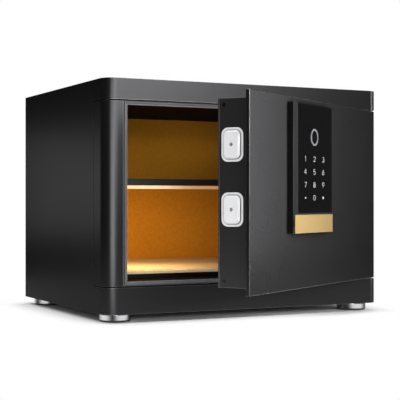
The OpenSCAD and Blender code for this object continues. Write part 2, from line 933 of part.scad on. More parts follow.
module rear_cover() {
    color([0.1, 0.1, 0.1]) in_door() difference() {
        union() {
            plate([box_x0, cover_y, box_z0], [box_x1, door_depth, box_z1]);
            rear_screw_places() rod_y(0, 0, cover_y - rear_boss_l, cover_y, rear_boss_r);
            for (s = [-1, 1])
                translate([tray_x0 + tray_w / 2 + s * (tray_w / 2 - ear_in), 0, lid_pin_z])
                    plate([-ear_t / 2, door_depth, -ear_r], [ear_t / 2, lid_pin_y + ear_r - ear_flat, ear_r]);
        }
        plate([tray_x0 + tray_t, cover_y - 1, tray_z0 + tray_t],
            [tray_x0 + tray_w - tray_t, door_depth + 1, tray_z0 + tray_h - tray_t]);
        rod_y(button_x, button_z, cover_y - 1, door_depth + 1, button_r + button_run);
        rear_screw_places() rod_y(0, 0, cover_y - rear_boss_l - 1, door_depth + 1,
            small_screw_r + fixed_fit);
        rod_x(lid_pin_y, lid_pin_z, tray_x0, tray_x0 + tray_w, lid_pin_r + 0.08);
    }
}

module rear_cover_screws() {
    color(plated) in_door() rear_screw_places() {
        rod_y(0, 0, cover_y - rear_boss_l + 1, door_depth + rear_head_t / 2, small_screw_r);
        rod_y(0, 0, door_depth, door_depth + rear_head_t, rear_head_r);
    }
}

// Bolt work

module bolt_collars() {
    w = bolt_w + 2 * collar_b;
    h = bolt_h + 2 * collar_b;
    color([0.75, 0.75, 0.77]) in_door() for (z = bolt_zs) difference() {
        union() {
            along_x(box_x0 - collar_t, box_x0) translate([bolt_y, z]) rounded_rect(w, h, bolt_r + 2);
            along_x(box_x0 - eps, box_x0 + sleeve_l) translate([bolt_y, z])
                rounded_rect(bolt_w + 2 * sleeve_t, bolt_h + 2 * sleeve_t, bolt_r + 0.6);
        }
        along_x(box_x0 - collar_t - 1, box_x0 + sleeve_l + 1) translate([bolt_y, z])
            rounded_rect(bolt_w + 2 * bolt_gap, bolt_h + 2 * bolt_gap, bolt_r + bolt_gap);
    }
}

// A bolt has a chamfer all round its end and a screw hole in the middle
module locking_bolts() {
    cut = 1.6;
    hole_r = 2;
    hole_l = 7;
    color([0.88, 0.88, 0.9]) in_door() for (z = bolt_zs) difference() {
        union() {
            along_x(bolt_tip + cut, bolt_tip + bolt_l) translate([bolt_y, z])
                rounded_rect(bolt_w, bolt_h, bolt_r);
            for (step = [0 : 3])
                along_x(bolt_tip + step * cut / 4, bolt_tip + cut + eps) translate([bolt_y, z])
                    rounded_rect(bolt_w - 2 * cut + step * cut / 2, bolt_h - 2 * cut + step * cut / 2,
                        bolt_r - cut + step * cut / 4);
        }
        rod_x(bolt_y, z, bolt_tip - 1, bolt_tip + hole_l, hole_r);
    }
}

// The plate behind both bolts, with an arm that carries the rack
module carriage_outline() {
    z0 = bolt_zs[0] - bolt_h / 2;
    z1 = bolt_zs[1] + bolt_h / 2;
    translate([carriage_x0, z0]) square([carriage_w, z1 - z0]);
    translate([carriage_x0 + carriage_w - eps, rack_z + dedendum])
        square([rack_x1 - carriage_x0 - carriage_w + eps, rack_arm_h]);
}

// Rack teeth with straight flanks, pointing down to the pinion
module rack_teeth() {
    half = rack_pitch / 4 - tooth_play / 2;
    slope = tan(gear_angle);
    for (i = [0 : rack_count - 1])
        translate([pinion_x + (i - 0.5) * rack_pitch, rack_z])
            polygon([
                [-half - slope * dedendum, dedendum + eps],
                [-half + slope * rack_addendum, -rack_addendum],
                [half - slope * rack_addendum, -rack_addendum],
                [half + slope * dedendum, dedendum + eps]
            ]);
}

module bolt_carriage() {
    y0 = bolt_front - carriage_t;
    color(steel) in_door() difference() {
        along_y(y0, bolt_front) {
            carriage_outline();
            rack_teeth();
        }
        for (s = [-1, 1])
            translate([stud_x, 0, bolt_mid + s * stud_dz]) {
                rod_y(0, 0, y0 - 1, bolt_front + 1, stud_r + slot_play);
                rod_y(bolt_throw, 0, y0 - 1, bolt_front + 1, stud_r + slot_play);
                plate([0, y0 - 1, -stud_r - slot_play], [bolt_throw, bolt_front + 1, stud_r + slot_play]);
            }
    }
}

module guide_studs() {
    y0 = bolt_front - carriage_t;
    color(plated) in_door()
        for (s = [-1, 1]) {
            z = bolt_mid + s * stud_dz;
            rod_y(stud_x, z, door_t, y0 - slot_play, stud_head_r);
            rod_y(stud_x, z, door_t, bolt_front + slot_play + eps, stud_r);
            rod_y(stud_x, z, bolt_front + slot_play, bolt_front + slot_play + stud_head_t, stud_head_r);
        }
}

// A point of the involute that starts on a circle of radius rb, unrolled by angle a
function involute(rb, a) = [
    rb * (cos(a) + a * PI / 180 * sin(a)),
    rb * (sin(a) - a * PI / 180 * cos(a))
];

// Unrolled angle at which the involute reaches radius r
function unrolled(rb, r) = sqrt(max(0, r * r / (rb * rb) - 1)) * 180 / PI;

// Polar angle of the involute at radius r
function involute_turn(rb, r) = unrolled(rb, r) - atan(unrolled(rb, r) * PI / 180);

// One tooth of the pinion, pointing along +Y of its own drawing
module pinion_tooth() {
    rb = gear_r * cos(gear_angle);
    tip = gear_r + gear_m;
    root = gear_r - dedendum - 0.1;
    steps = 8;
    thinned = tooth_play / 4 / gear_r * 180 / PI;
    half = 90 / pinion_n - thinned + involute_turn(rb, gear_r);
    right = [
        for (i = [0 : steps])
            let (p = involute(rb, unrolled(rb, tip) * i / steps))
                [p[0] * sin(half) - p[1] * cos(half), p[0] * cos(half) + p[1] * sin(half)]
    ];
    left = [for (i = [steps : -1 : 0]) [-right[i][0], right[i][1]]];
    foot = root * [sin(half), cos(half)];
    polygon(concat([foot], right, left, [[-foot[0], foot[1]]]));
}

module drive_pinion() {
    color([0.85, 0.82, 0.7]) in_door() {
        along_y(pinion_y, pinion_y + pinion_t) translate([pinion_x, pinion_z]) {
            circle(gear_r - dedendum);
            for (i = [0 : pinion_n - 1]) rotate(i * 360 / pinion_n) pinion_tooth();
        }
        rod_y(pinion_x, pinion_z, pinion_y + pinion_t - eps, gearbox_y + shaft_l, shaft_r);
    }
}

module gearbox() {
    color([0.2, 0.2, 0.22]) in_door() difference() {
        along_y(gearbox_y, gearbox_y + gearbox_d)
            translate([gearbox_x + gearbox_w / 2, gearbox_z + gearbox_h / 2])
                rounded_rect(gearbox_w, gearbox_h, gearbox_corner_r);
        rod_y(pinion_x, pinion_z, gearbox_y - 1, gearbox_y + shaft_l + shaft_end, shaft_r + shaft_run);
    }
}

module drive_motor() {
    x0 = gearbox_x + gearbox_w;
    y = gearbox_y + gearbox_d / 2;
    z = gearbox_z + gearbox_h / 2;
    color(plated) in_door() {
        rod_x(y, z, x0, x0 + motor_l, motor_r);
        rod_x(y, z, x0 + motor_l - eps, x0 + motor_l + motor_cap_l, motor_cap_r);
    }
}

module gearbox_posts() {
    x0 = gearbox_x + post_in;
    x1 = gearbox_x + gearbox_w - post_in;
    z0 = gearbox_z + post_in;
    z1 = rack_z + dedendum - post_r - 2;
    color(steel) in_door()
        for (p = [[x0, z0], [x1, z0], [x1, z1]])
            rod_y(p[0], p[1], door_t, gearbox_y, post_r);
}

// Electronics

module control_board() {
    middle = [board_w / 2, board_h / 2];
    edge = board_in + part_gap;
    color([0.05, 0.3, 0.12]) in_door() translate([board_x0, board_y, board_z0]) {
        cube([board_w, board_t, board_h]);
        translate([0, board_t - eps, 0]) {
            translate([middle[0] - chip_s, 0, middle[1] - chip_s / 2]) cube([chip_s, chip_t, chip_s]);
            translate([middle[0] + part_gap, 0, edge]) cube([driver_w, driver_t, driver_h]);
            translate([edge, 0, board_h - edge - socket_h / 2]) cube([socket_w, socket_t, socket_h]);
            translate([board_w - edge - relay_w, 0, board_h - edge - relay_h])
                cube([relay_w, relay_t, relay_h]);
            translate([middle[0] + 2 * part_gap, 0, middle[1]])
                rotate([-90, 0, 0]) cylinder(r = capacitor_r, h = capacitor_l);
        }
    }
}

module board_posts() {
    color([0.75, 0.68, 0.4]) in_door()
        for (x = [board_in, board_w - board_in], z = [board_in, board_h - board_in])
            rod_y(board_x0 + x, board_z0 + z, door_t, board_y, board_post_r);
}

module battery_tray() {
    color([0.08, 0.08, 0.08]) in_door() translate([tray_x0, 0, tray_z0]) difference() {
        plate([0, tray_y - tray_t, 0], [tray_w, cover_y, tray_h]);
        plate([tray_t, tray_y, tray_t], [tray_w - tray_t, cover_y + 1, tray_h - tray_t]);
    }
}

module battery_cells() {
    color([0.75, 0.55, 0.3]) in_door()
        for (i = [0 : cell_n - 1])
            translate([tray_x0 + tray_t + (i + 0.5) * (2 * cell_r + cell_space), tray_y + cell_r,
                tray_z0 + tray_t + 1]) {
                cylinder(r = cell_r, h = cell_l - cell_cap_l);
                translate([0, 0, cell_l - cell_cap_l - eps]) cylinder(r = cell_cap_r, h = cell_cap_l);
            }
}

// The lid turns about a pin in two ears of the rear cover
module battery_lid() {
    x0 = tray_x0 - lid_lap;
    x1 = tray_x0 + tray_w + lid_lap;
    y0 = door_depth + lid_gap;
    z1 = tray_z0 + tray_h + lid_lap;
    ear_gap = 2.4;
    neck_h = 3;
    barrel_r = 1.25;
    barrel_in = ear_in + 1.5;
    grip_in = 20;
    grip_h = 5;
    grip_drop = 4;
    grip_depth = 0.6;
    neck_x0 = tray_x0 + ear_in + ear_gap;
    neck_x1 = tray_x0 + tray_w - ear_in - ear_gap;
    color([0.1, 0.1, 0.1]) in_door() difference() {
        union() {
            plate([x0, y0, lid_pin_z + neck_h], [x1, y0 + lid_t, z1]);
            plate([neck_x0, y0, lid_pin_z], [neck_x1, y0 + lid_t, lid_pin_z + neck_h + eps]);
            rod_x(lid_pin_y, lid_pin_z, tray_x0 + barrel_in, tray_x0 + tray_w - barrel_in, barrel_r);
            rod_x(lid_pin_y, lid_pin_z, tray_x0 + 2, tray_x0 + tray_w - 2, lid_pin_r);
        }
        plate([x0 + grip_in, y0 + lid_t - grip_depth, z1 - grip_drop - grip_h],
            [x1 - grip_in, y0 + lid_t + 1, z1 - grip_drop]);
    }
}

// Reset button, which is pressed through the rear cover
module reset_button() {
    y1 = cover_y - flange_gap;
    color([0.75, 0.1, 0.08]) in_door() {
        rod_y(button_x, button_z, y1 - flange_t, door_depth + button_proud, button_r);
        rod_y(button_x, button_z, y1 - flange_t, y1, button_r + 1.2);
    }
}

module reset_switch() {
    y1 = cover_y - flange_gap - flange_t - button_travel - 0.2;
    half = switch_s / 2;
    color([0.12, 0.12, 0.12]) in_door() translate([button_x, 0, button_z]) {
        plate([-half, y1 - switch_t, -half], [half, y1, half]);
        for (s = [-1, 1])
            plate([s * half - 1, y1 - eps, -half], [s * half + 1, cover_y, half]);
    }
}

// Control panel on the front of the door

// Black housing with a wide sloping edge on the left and a thin rim round the glass
module panel_housing() {
    drop = rim_w * 0.6;
    color([0.1, 0.1, 0.105]) in_door() difference() {
        union() {
            translate([0, 0, cover_z1]) linear_extrude(panel_z1 - cover_z1) polygon([
                [panel_x0, 0],
                [panel_x0, -panel_t + bevel_d],
                [panel_x0 + bevel_w, -panel_t],
                [panel_x1 - rim_w, -panel_t],
                [panel_x1, -panel_t + drop],
                [panel_x1, 0]
            ]);
            plate([panel_x0, -cover_base_t, panel_z0], [panel_x1, 0, cover_z1 + eps]);
            plate([panel_x0, -panel_t + bevel_d, panel_z0],
                [panel_x0 + cheek_t, 0, cover_z1 + eps]);
            cover_rail(0);
        }
        along_x(panel_x0 - 1, panel_x1 + 1) polygon([
            [-panel_t - 1, panel_z1 - rim_w],
            [-panel_t, panel_z1 - rim_w],
            [-panel_t + drop, panel_z1],
            [-panel_t + drop, panel_z1 + 1],
            [-panel_t - 1, panel_z1 + 1]
        ]);
        glass_place(0);
        rod_y(keyhole_x, keyhole_z, -panel_t, 1, key_r + 0.1);
    }
}

// Rail of the sliding key cover. With play it is the groove in the cover
module cover_rail(play) {
    x0 = play > 0 ? panel_x0 : panel_x0 + cover_travel;
    x1 = panel_x1 - 2 + play;
    y_stem = -cover_base_t - rail_stem_t - play;
    y_head = y_stem - rail_head_t - play;
    stem = rail_stem / 2 + play;
    head = rail_head / 2 + play;
    plate([x0, y_stem, keyhole_z - stem], [x1, -cover_base_t + eps, keyhole_z + stem]);
    plate([x0, y_head, keyhole_z - head], [x1, y_stem + eps + 2 * play, keyhole_z + head]);
}

// Recess of the glass. With a gap it is the glass itself
module glass_place(gap) {
    front = gap > 0 ? 0 : 1;
    plate([panel_x0 + bevel_w + gap, -panel_t - front, cover_z1 + rim_w + gap],
        [panel_x1 - rim_w - gap, -panel_t + glass_t, panel_z1 - rim_w - gap]);
}

module touch_glass() {
    color([0.03, 0.03, 0.035]) in_door() difference() {
        glass_place(glass_gap);
        rod_y(ring_x, ring_z, -panel_t - 1, 0, ring_r + 0.1);
    }
}

module fingerprint_ring() {
    color(plated) in_door() difference() {
        rod_y(ring_x, ring_z, -panel_t - ring_proud, -panel_t + glass_t, ring_r);
        rod_y(ring_x, ring_z, -panel_t - ring_proud - 1, 0, ring_r - ring_b);
    }
}

// The sensor has a shallow dish for the fingertip
module fingerprint_sensor() {
    r = ring_r - ring_b - 0.05;
    dish_r = 40;
    dish_d = 0.5;
    proud = 0.3;
    color([0.05, 0.05, 0.06]) in_door()
        translate([ring_x, -panel_t + glass_t, ring_z]) rotate([90, 0, 0])
            rotate_extrude() difference() {
                square([r, glass_t + proud]);
                translate([0, glass_t + proud + dish_r - dish_d]) circle(dish_r, $fn = 360);
            }
}

module key_cover() {
    y0 = -panel_t - 0.2;
    y1 = -cover_base_t - cover_run;
    color([0.8, 0.66, 0.4]) in_door() difference() {
        plate([panel_x0 + cheek_t + cover_gap, y0, panel_z0],
            [panel_x1 + cover_over, y1, cover_z1 - cover_gap]);
        cover_rail(cover_run);
    }
}

module key_cylinder() {
    color(plated) in_door() difference() {
        rod_y(keyhole_x, keyhole_z, -cover_base_t, key_end, key_r);
        rod_y(keyhole_x, keyhole_z, -cover_base_t - 1, key_end + 1, plug_r + plug_run);
    }
}

module cylinder_nut() {
    color(steel) in_door() difference() {
        translate([keyhole_x, door_t + nut_t, keyhole_z]) rotate([90, 0, 0])
            cylinder(r = nut_r, h = nut_t, $fn = 6);
        rod_y(keyhole_x, keyhole_z, door_t - 1, door_t + nut_t + 1, key_r + fixed_fit);
    }
}

// The plug takes the key in front and carries the cam behind
module key_plug() {
    slot_w = 1.6;
    slot_h = 7.4;
    slot_l = 18;
    color([0.78, 0.65, 0.35]) in_door() difference() {
        union() {
            rod_y(keyhole_x, keyhole_z, -cover_base_t + 0.2, key_end + 0.3 + eps, plug_r);
            rod_y(keyhole_x, keyhole_z, key_end + 0.3, key_end + 0.3 + cam_t, cam_w / 2 + 2);
            along_y(key_end + 0.3, key_end + 0.3 + cam_t) translate([keyhole_x, keyhole_z]) {
                translate([-cam_w / 2, -cam_l + cam_w / 2]) square([cam_w, cam_l - cam_w / 2]);
                translate([0, -cam_l + cam_w / 2]) circle(cam_w / 2);
            }
        }
        translate([keyhole_x, 0, keyhole_z])
            plate([-slot_w / 2, -cover_base_t - 1, -slot_h / 2], [slot_w / 2, slot_l, slot_h / 2]);
    }
}

floor_panel();
roof_panel();
back_panel();
left_side_panel();
right_side_panel();
top_band();
bottom_band();
left_pillar();
frame_plates();
hinge_plates();
left_jamb();
hinge_post();
sill_channel();
lintel_channel();
trim_frame();
floor_pan();
ceiling_pan();
liner_back();
liner_left();
liner_right();
shelf();
shelf_rails();
lamp_channel();
lamp_diffuser();
floor_mat();
foot_cups();
foot_pads();
foot_screws();
hinge_pins();
hinge_washer();
door_skin();
door_box();
rear_cover();
rear_cover_screws();
edge_screws();
hinge_blocks();
hinge_bushes();
bolt_collars();
guide_studs();
gearbox();
drive_motor();
gearbox_posts();
control_board();
board_posts();
battery_tray();
battery_cells();
reset_switch();
panel_housing();
touch_glass();
fingerprint_ring();
fingerprint_sensor();
key_cylinder();
cylinder_nut();
locking_bolts();
bolt_carriage();
drive_pinion();
key_plug();
key_cover();
battery_lid();
reset_button();
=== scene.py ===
"""Electronic safe: finishes, soft parts, marks and studio for the packed model, in metres."""

from math import cos, pi, radians, sin

import bmesh
import bpy
from mathutils import Matrix, Vector, noise


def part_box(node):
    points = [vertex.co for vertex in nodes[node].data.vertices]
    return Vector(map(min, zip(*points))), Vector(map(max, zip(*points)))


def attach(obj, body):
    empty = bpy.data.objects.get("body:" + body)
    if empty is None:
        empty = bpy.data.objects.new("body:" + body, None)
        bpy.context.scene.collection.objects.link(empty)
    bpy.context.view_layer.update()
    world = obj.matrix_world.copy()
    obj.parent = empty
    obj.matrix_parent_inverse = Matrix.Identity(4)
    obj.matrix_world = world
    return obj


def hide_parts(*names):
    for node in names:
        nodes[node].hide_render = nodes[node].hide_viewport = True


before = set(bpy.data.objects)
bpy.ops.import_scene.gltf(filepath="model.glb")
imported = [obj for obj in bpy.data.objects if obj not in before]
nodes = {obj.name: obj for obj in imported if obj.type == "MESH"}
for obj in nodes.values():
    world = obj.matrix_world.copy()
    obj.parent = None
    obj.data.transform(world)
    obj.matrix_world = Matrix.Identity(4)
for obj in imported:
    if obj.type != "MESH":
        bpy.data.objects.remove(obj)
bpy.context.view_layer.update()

bl_info = {
    "name": "Electronic safe",
    "version": (1, 0, 0),
    "blender": (4, 5, 0),
    "location": "3D View > Sidebar > Safe",
    "description": "Finishes the packed model of a home safe and sets up its studio",
    "category": "Object",
}

# The closed door is measured from the cabinet's left, front and underside
CABINET_W = 0.380
CABINET_D = 0.294
DOOR_PIVOT = (0.364, 0.016)
DOOR_OPEN = radians(33)

# Sheets that are welded into one shell
SHELL_NODES = ("floor_panel", "roof_panel", "back_panel", "left_side_panel", "right_side_panel",
               "top_band", "bottom_band")

# Points closer than this are one point, and edges sharper than this angle are rounded
WELD = 1e-5
EDGE_ANGLE = radians(38)

# Edge radii of the shelf, of small sheet pieces, of thin strips and of moulded or machined covers
SHELF_ROUND = 0.0005
SHEET_ROUND = 0.0003
THIN_ROUND = 0.0002
COVER_ROUND = 0.00035

# Outline of a trim strip in millimetres: outward from the doorway's edge, and forward from the
# frame. The bead is the bright rib among its faces; the others take the dark inner coat as painted
# shade in the grooves. Strips meet in a hairline joint.
MOULDING = ((5.2, 0.0), (5.2, 0.2), (3.75, 0.2), (3.7, 1.75), (3.5, 2.0), (3.2, 2.05), (2.3, 1.6),
            (2.1, 1.4), (2.05, 0.7), (0.8, 0.4), (0.6, 0.15), (0.0, 0.15), (0.0, 0.0))
BEAD = range(3, 7)
MOULDING_W = 0.0052
MITRE_JOINT = 0.00016

# Floor mat: room under the solid's top, corner radius, grid that the waves bend, height of the
# waves, and the distances from the edge at which waves and crown reach their height
MAT_ROOM = 0.0003
MAT_CORNER = 0.005
MAT_GRID = 0.0055
MAT_WAVE = 0.00022
MAT_CALM = 0.012
MAT_CROWN = 0.03

# Outer radius of a foot's cup
CUP_RADIUS = 0.016

# Keypad on the closed door: middle of its top row, front of its glass, how much wider numbers are
# drawn, half thickness of the print, what keeps crossing strokes apart, and steps in a curve
KEYPAD_TOP = (0.1696, 0.1788)
KEYPAD_Y = -0.00643
MARK_STRETCH = 1.65
PRINT_DEPTH = 0.00003
STROKE_STEP = 0.000003
ARC_STEPS = 20

# Lamp under the shelf: middle of its lit part, how far from there it starts to dim and is
# dimmest, spacing of its diodes, and width, place, aim, spread and colour of its light
LAMP_X = -0.118
LAMP_LIT = 0.01
LAMP_DIM = 0.075
DIODE_PITCH = 0.0166
LAMP_SHARE = 0.29
LAMP_GAP = 0.0008
LAMP_TILT = radians(45)
LAMP_SPREAD = radians(150)
LAMP_LIGHT = (1.0, 0.72, 0.34)

CAMERA_PLACE = (-0.6669, -1.3435, 0.1308)
CAMERA_TURN = radians(-26.57)
CAMERA_SENSOR = 36.0
CAMERA_SHIFT = 0.0031
CAMERA_NEAR = 0.05

# Shiny surfaces see the white background this way, with a soft edge between two cosines
BACKGROUND_WAY = (0.447, 0.894, 0.0)
BACKGROUND_EDGE = (0.88, 0.97)

# The floor keeps the shadow up to this distance from the cabinet
FLOOR_Z = -0.010
FLOOR_REACH = 0.62
SHADOW_REACH = 0.045

# Azimuth and distance of each softbox, its width, its lower and upper edge, tilt and radiance
SOFTBOXES = {
    "front_softbox": (6, 2.4, 1.75, 0.36, 0.96, 90, 12.0),
    "pillar_softbox": (-24, 2.0, 1.1, -0.25, 0.5, 90, 8.5),
    "right_strip": (70, 1.10, 0.28, 0.0, 0.8, 90, 10.0),
    "back_left_softbox": (-143, 1.0, 0.40, 0.06, 0.27, 90, 2.4),
    "left_softbox": (-70, 1.6, 0.9, 1.3, 2.1, 48, 7.2),
    "top_softbox": (0, 0.0, 1.0, 2.0, 3.0, 0, 14.0),
}

# The coat holds fine metal flake, so it shines the same from the front and along the surface
SATIN_BLACK = {"Metallic": 0.9, "Specular Tint": (0.42, 0.42, 0.42, 1.0),
               "Specular IOR Level": 0.2}
DULL_BLACK = {**SATIN_BLACK, "Specular Tint": (0.15, 0.15, 0.15, 1.0)}
METAL = {"Metallic": 1.0}

WHITE = (1.0, 1.0, 1.0, 1.0)
GREY = (0.5, 0.5, 0.5, 1.0)
# Colour of the painted shade in gaps
GAP_SHADE = (0.004, 0.004, 0.004, 1.0)
DUST = (0.42, 0.41, 0.39, 1.0)
DIM_LAMP = (0.34, 0.13, 0.03, 1.0)
# Bare steel of worn edges, made light enough to act as a painted highlight
BARE_STEEL_HIGHLIGHT = (0.50, 0.50, 0.505)


def door_place(x, y, z):
    """Where the open door holds a point that is measured on the closed door."""
    arm = Vector((x - DOOR_PIVOT[0], y - DOOR_PIVOT[1]))
    turned = Matrix.Rotation(DOOR_OPEN, 2) @ arm
    return Vector((DOOR_PIVOT[0] + turned.x - CABINET_W / 2,
                   DOOR_PIVOT[1] + turned.y - CABINET_D / 2, z))


def length(name, text, default, low, high):
    """A size in metres that a user may change."""
    return bpy.props.FloatProperty(name=name, description=text, default=default, min=low,
                                   max=high, subtype="DISTANCE", unit="LENGTH", precision=5)


def share(name, text, default, high=1.0):
    """A number without a unit, such as a roughness."""
    return bpy.props.FloatProperty(name=name, description=text, default=default, min=0.0,
                                   max=high, subtype="FACTOR")


def tint(name, text, default):
    """A colour that a user may change."""
    return bpy.props.FloatVectorProperty(name=name, description=text, default=default, size=3,
                                         min=0.0, max=1.0, subtype="COLOR")


class SafeCabinetLook(bpy.types.PropertyGroup):
    """Sizes and colours of the painted cabinet and its feet."""
    coat_color: tint("Coat", "Satin black coat of the cabinet", (0.029, 0.029, 0.030))
    coat_roughness: share("Coat roughness", "How matt the cabinet's coat is", 0.29)
    edge_round: length("Edge round", "Radius of the folded sheet's edges", 0.0007, 0.0001, 0.002)
    trim_color: tint("Trim", "Satin strips round the doorway", (0.10, 0.10, 0.104))
    plating_color: tint("Plating", "Chrome of the small plated pieces", (0.80, 0.80, 0.82))


class SafeDoorLook(bpy.types.PropertyGroup):
    """Sizes and colours of the door and its bolts."""
    coat_color: tint("Coat", "Satin black coat of the door", (0.033, 0.033, 0.034))
    coat_roughness: share("Coat roughness", "How matt the door's coat is", 0.28)
    edge_round: length("Edge round", "Radius of the door's edges", 0.0009, 0.0001, 0.002)
    bolt_color: tint("Bolts", "Satin nickel of the bolts", (0.74, 0.74, 0.75))


class SafePanelLook(bpy.types.PropertyGroup):
    """Sizes and colours of the control panel."""
    glass_color: tint("Glass", "Black touch glass", (0.004, 0.004, 0.0042))
    mark_color: tint("Marks", "Numbers on the glass", (0.52, 0.53, 0.55))
    mark_height: length("Mark height", "Height of a number", 0.0056, 0.003, 0.010)
    mark_pen: length("Mark pen", "Thickness of a number's level strokes", 0.00042, 0.0002, 0.0012)
    mark_column: length("Columns", "Distance between columns of numbers", 0.0240, 0.010, 0.030)
    mark_row: length("Rows", "Distance between rows of numbers", 0.0147, 0.010, 0.020)
    gold_color: tint("Key cover", "Anodised key cover", (0.33, 0.225, 0.080))


class SafeInsideLook(bpy.types.PropertyGroup):
    """Sizes and colours inside the cabinet."""
    liner_color: tint("Liner", "Flocked liner boards", (0.57, 0.230, 0.012))
    mat_color: tint("Mat", "Short pile of the floor mat", (0.76, 0.55, 0.34))
    mat_round: length("Mat edge", "Radius of the mat's upper edge", 0.0028, 0.001, 0.004)
    lamp_color: tint("Lamp", "Lit diffuser under the shelf", (0.90, 0.58, 0.30))
    lamp_power: bpy.props.FloatProperty(
        name="Lamp power", description="Light of the lamp under the shelf", default=0.27,
        min=0.0, max=10.0, subtype="POWER", unit="POWER")


class SafeStudioLook(bpy.types.PropertyGroup):
    """Camera and light."""
    focal_length: bpy.props.FloatProperty(
        name="Focal length", description="Lens of the camera", default=101.13,
        min=20.0, max=300.0, subtype="DISTANCE_CAMERA")
    fill: share("Fill", "Strength of the light from all round", 0.25, 2.0)
    dark: share("Room", "Brightness of the room that shiny surfaces show", 0.05)
    floor_color: tint("Floor", "Pale floor", (0.90, 0.90, 0.90))


def new_object(name, data):
    """A new object in the scene."""
    made = bpy.data.objects.new(name, data)
    bpy.context.scene.collection.objects.link(made)
    return made


# Shader building


def empty_tree(owner):
    """The node tree of a material or world, with nothing in it."""
    owner.use_nodes = True
    owner.node_tree.nodes.clear()
    return owner.node_tree


def add(tree, kind, values=None, **settings):
    """A new shader node, whose inputs are numbers or the sockets that feed them."""
    made = tree.nodes.new(kind)
    for key, value in settings.items():
        setattr(made, key, value)
    for key, value in (values or {}).items():
        if isinstance(value, bpy.types.NodeSocket):
            tree.links.new(value, made.inputs[key])
        else:
            made.inputs[key].default_value = value
    return made


def calc(tree, operation, a, b=0.0, c=0.0, clamp=False):
    """The result socket of one Math node."""
    return add(tree, "ShaderNodeMath", {0: a, 1: b, 2: c},
               operation=operation, use_clamp=clamp).outputs[0]


def swing(tree, value, gain):
    """How far a noise value is from its middle, times a gain."""
    return calc(tree, "MULTIPLY", calc(tree, "SUBTRACT", value, 0.5), gain)


def vector(tree, operation, a, b=(0.0, 0.0, 0.0)):
    """The output sockets of one Vector Math node."""
    return add(tree, "ShaderNodeVectorMath", {0: a, 1: b}, operation=operation).outputs


def scaled(tree, color, level):
    """The socket of a colour that is made lighter or darker by a level."""
    return add(tree, "ShaderNodeVectorMath", {0: color, 3: level}, operation="SCALE").outputs[0]


def blend_color(tree, factor, a, b):
    """The result socket of one colour Mix node."""
    return add(tree, "ShaderNodeMix", {0: factor, 6: a, 7: b}, data_type="RGBA").outputs[2]


def smooth_step(tree, value, start, end, low=0.0):
    """The socket of a value that goes smoothly from low to 1 between start and end."""
    return add(tree, "ShaderNodeMapRange",
               {"Value": value, "From Min": start, "From Max": end, "To Min": low},
               interpolation_type="SMOOTHSTEP").outputs[0]


def object_point(tree):
    """Where a surface point is on its own piece."""
    return add(tree, "ShaderNodeTexCoord").outputs["Object"]


def noise_value(tree, point, scale, detail=2.0, roughness=0.5):
    """The value socket of a noise texture."""
    values = {"Vector": point, "Scale": scale, "Detail": detail, "Roughness": roughness}
    return add(tree, "ShaderNodeTexNoise", values).outputs["Fac"]


def rgba(color):
    """A colour with its alpha."""
    return (*color, 1.0)


def new_group(name, inputs, outputs):
    """An empty shader node group and its sockets. An input's default gives its kind."""
    tree = bpy.data.node_groups.new(name, "ShaderNodeTree")
    kinds = {3: "NodeSocketVector", 4: "NodeSocketColor"}
    for label, default in inputs.items():
        kind = kinds[len(default)] if isinstance(default, tuple) else "NodeSocketFloat"
        made = tree.interface.new_socket(label, in_out="INPUT", socket_type=kind)
        made.default_value = default
    for label in outputs:
        kind = "NodeSocketColor" if label == "Color" else "NodeSocketFloat"
        tree.interface.new_socket(label, in_out="OUTPUT", socket_type=kind)
    return tree, tree.nodes.new("NodeGroupInput").outputs, tree.nodes.new("NodeGroupOutput").inputs


SURFACE = ("Color", "Roughness", "Height")


def fill_surface(tree, given, out, level, rough, height):
    """Links a surface group's outputs: its colour times a level, its roughness and its height."""
    tree.links.new(scaled(tree, given["Color"], level), out["Color"])
    tree.links.new(rough, out["Roughness"])
    tree.links.new(height, out["Height"])
    return tree


def fill_mask(tree, given, out, mask, clamp=False):
    """Links a mask group's output: its mask times its amount."""
    amount = calc(tree, "MULTIPLY", mask, given["Amount"], clamp=clamp)
    tree.links.new(amount, out["Mask"])
    return tree


def grain_group():
    """Fine grain of a powder coat or of a moulded plastic, with soft uneven patches."""
    tree, given, out = new_group(
        "fine_grain", {"Color": GREY, "Roughness": 0.5, "Grain Size": 1200.0, "Patches": 0.2},
        SURFACE)
    point = object_point(tree)
    grain = noise_value(tree, point, given["Grain Size"], 2.0, 0.6)
    patches = noise_value(tree, point, 24.0, 4.0, 0.6)
    broad = noise_value(tree, point, 5.0, 2.0)
    both = calc(tree, "SUBTRACT", calc(tree, "ADD", patches, broad), 1.0)
    uneven = calc(tree, "MULTIPLY", both, given["Patches"])
    level = calc(tree, "ADD", calc(tree, "ADD", uneven, swing(tree, grain, 0.35)), 1.0)
    rough = calc(tree, "ADD", given["Roughness"], calc(tree, "MULTIPLY", uneven, 0.35), clamp=True)
    return fill_surface(tree, given, out, level, rough, grain)


def pile_group():
    """Short pile: roots darker than tips, a painted shade, and patches of laid-over nap, a painted
    sheen.
    """
    tree, given, out = new_group(
        "cloth_pile", {"Color": GREY, "Root": 0.6, "Pile Size": 1500.0, "Nap": 0.2}, SURFACE)
    point = object_point(tree)
    fibre = add(tree, "ShaderNodeTexVoronoi",
                {"Vector": point, "Scale": given["Pile Size"]}).outputs["Distance"]
    clump = noise_value(tree, point, 320.0, 3.0, 0.6)
    nap = noise_value(tree, point, 16.0, 3.0, 0.55)
    height = calc(tree, "SUBTRACT", calc(tree, "MULTIPLY", clump, 1.2),
                  calc(tree, "MULTIPLY", fibre, 0.6))
    # Painted sheen on the laid-over nap, and painted shade at the roots below
    shade = calc(tree, "MULTIPLY_ADD", calc(tree, "SUBTRACT", nap, 0.5), given["Nap"], 1.0)
    tip = calc(tree, "MULTIPLY_ADD", calc(tree, "SUBTRACT", height, 0.3), given["Root"], shade)
    rough = calc(tree, "MULTIPLY_ADD", nap, 0.1, 0.85)
    return fill_surface(tree, given, out, tip, rough, height)


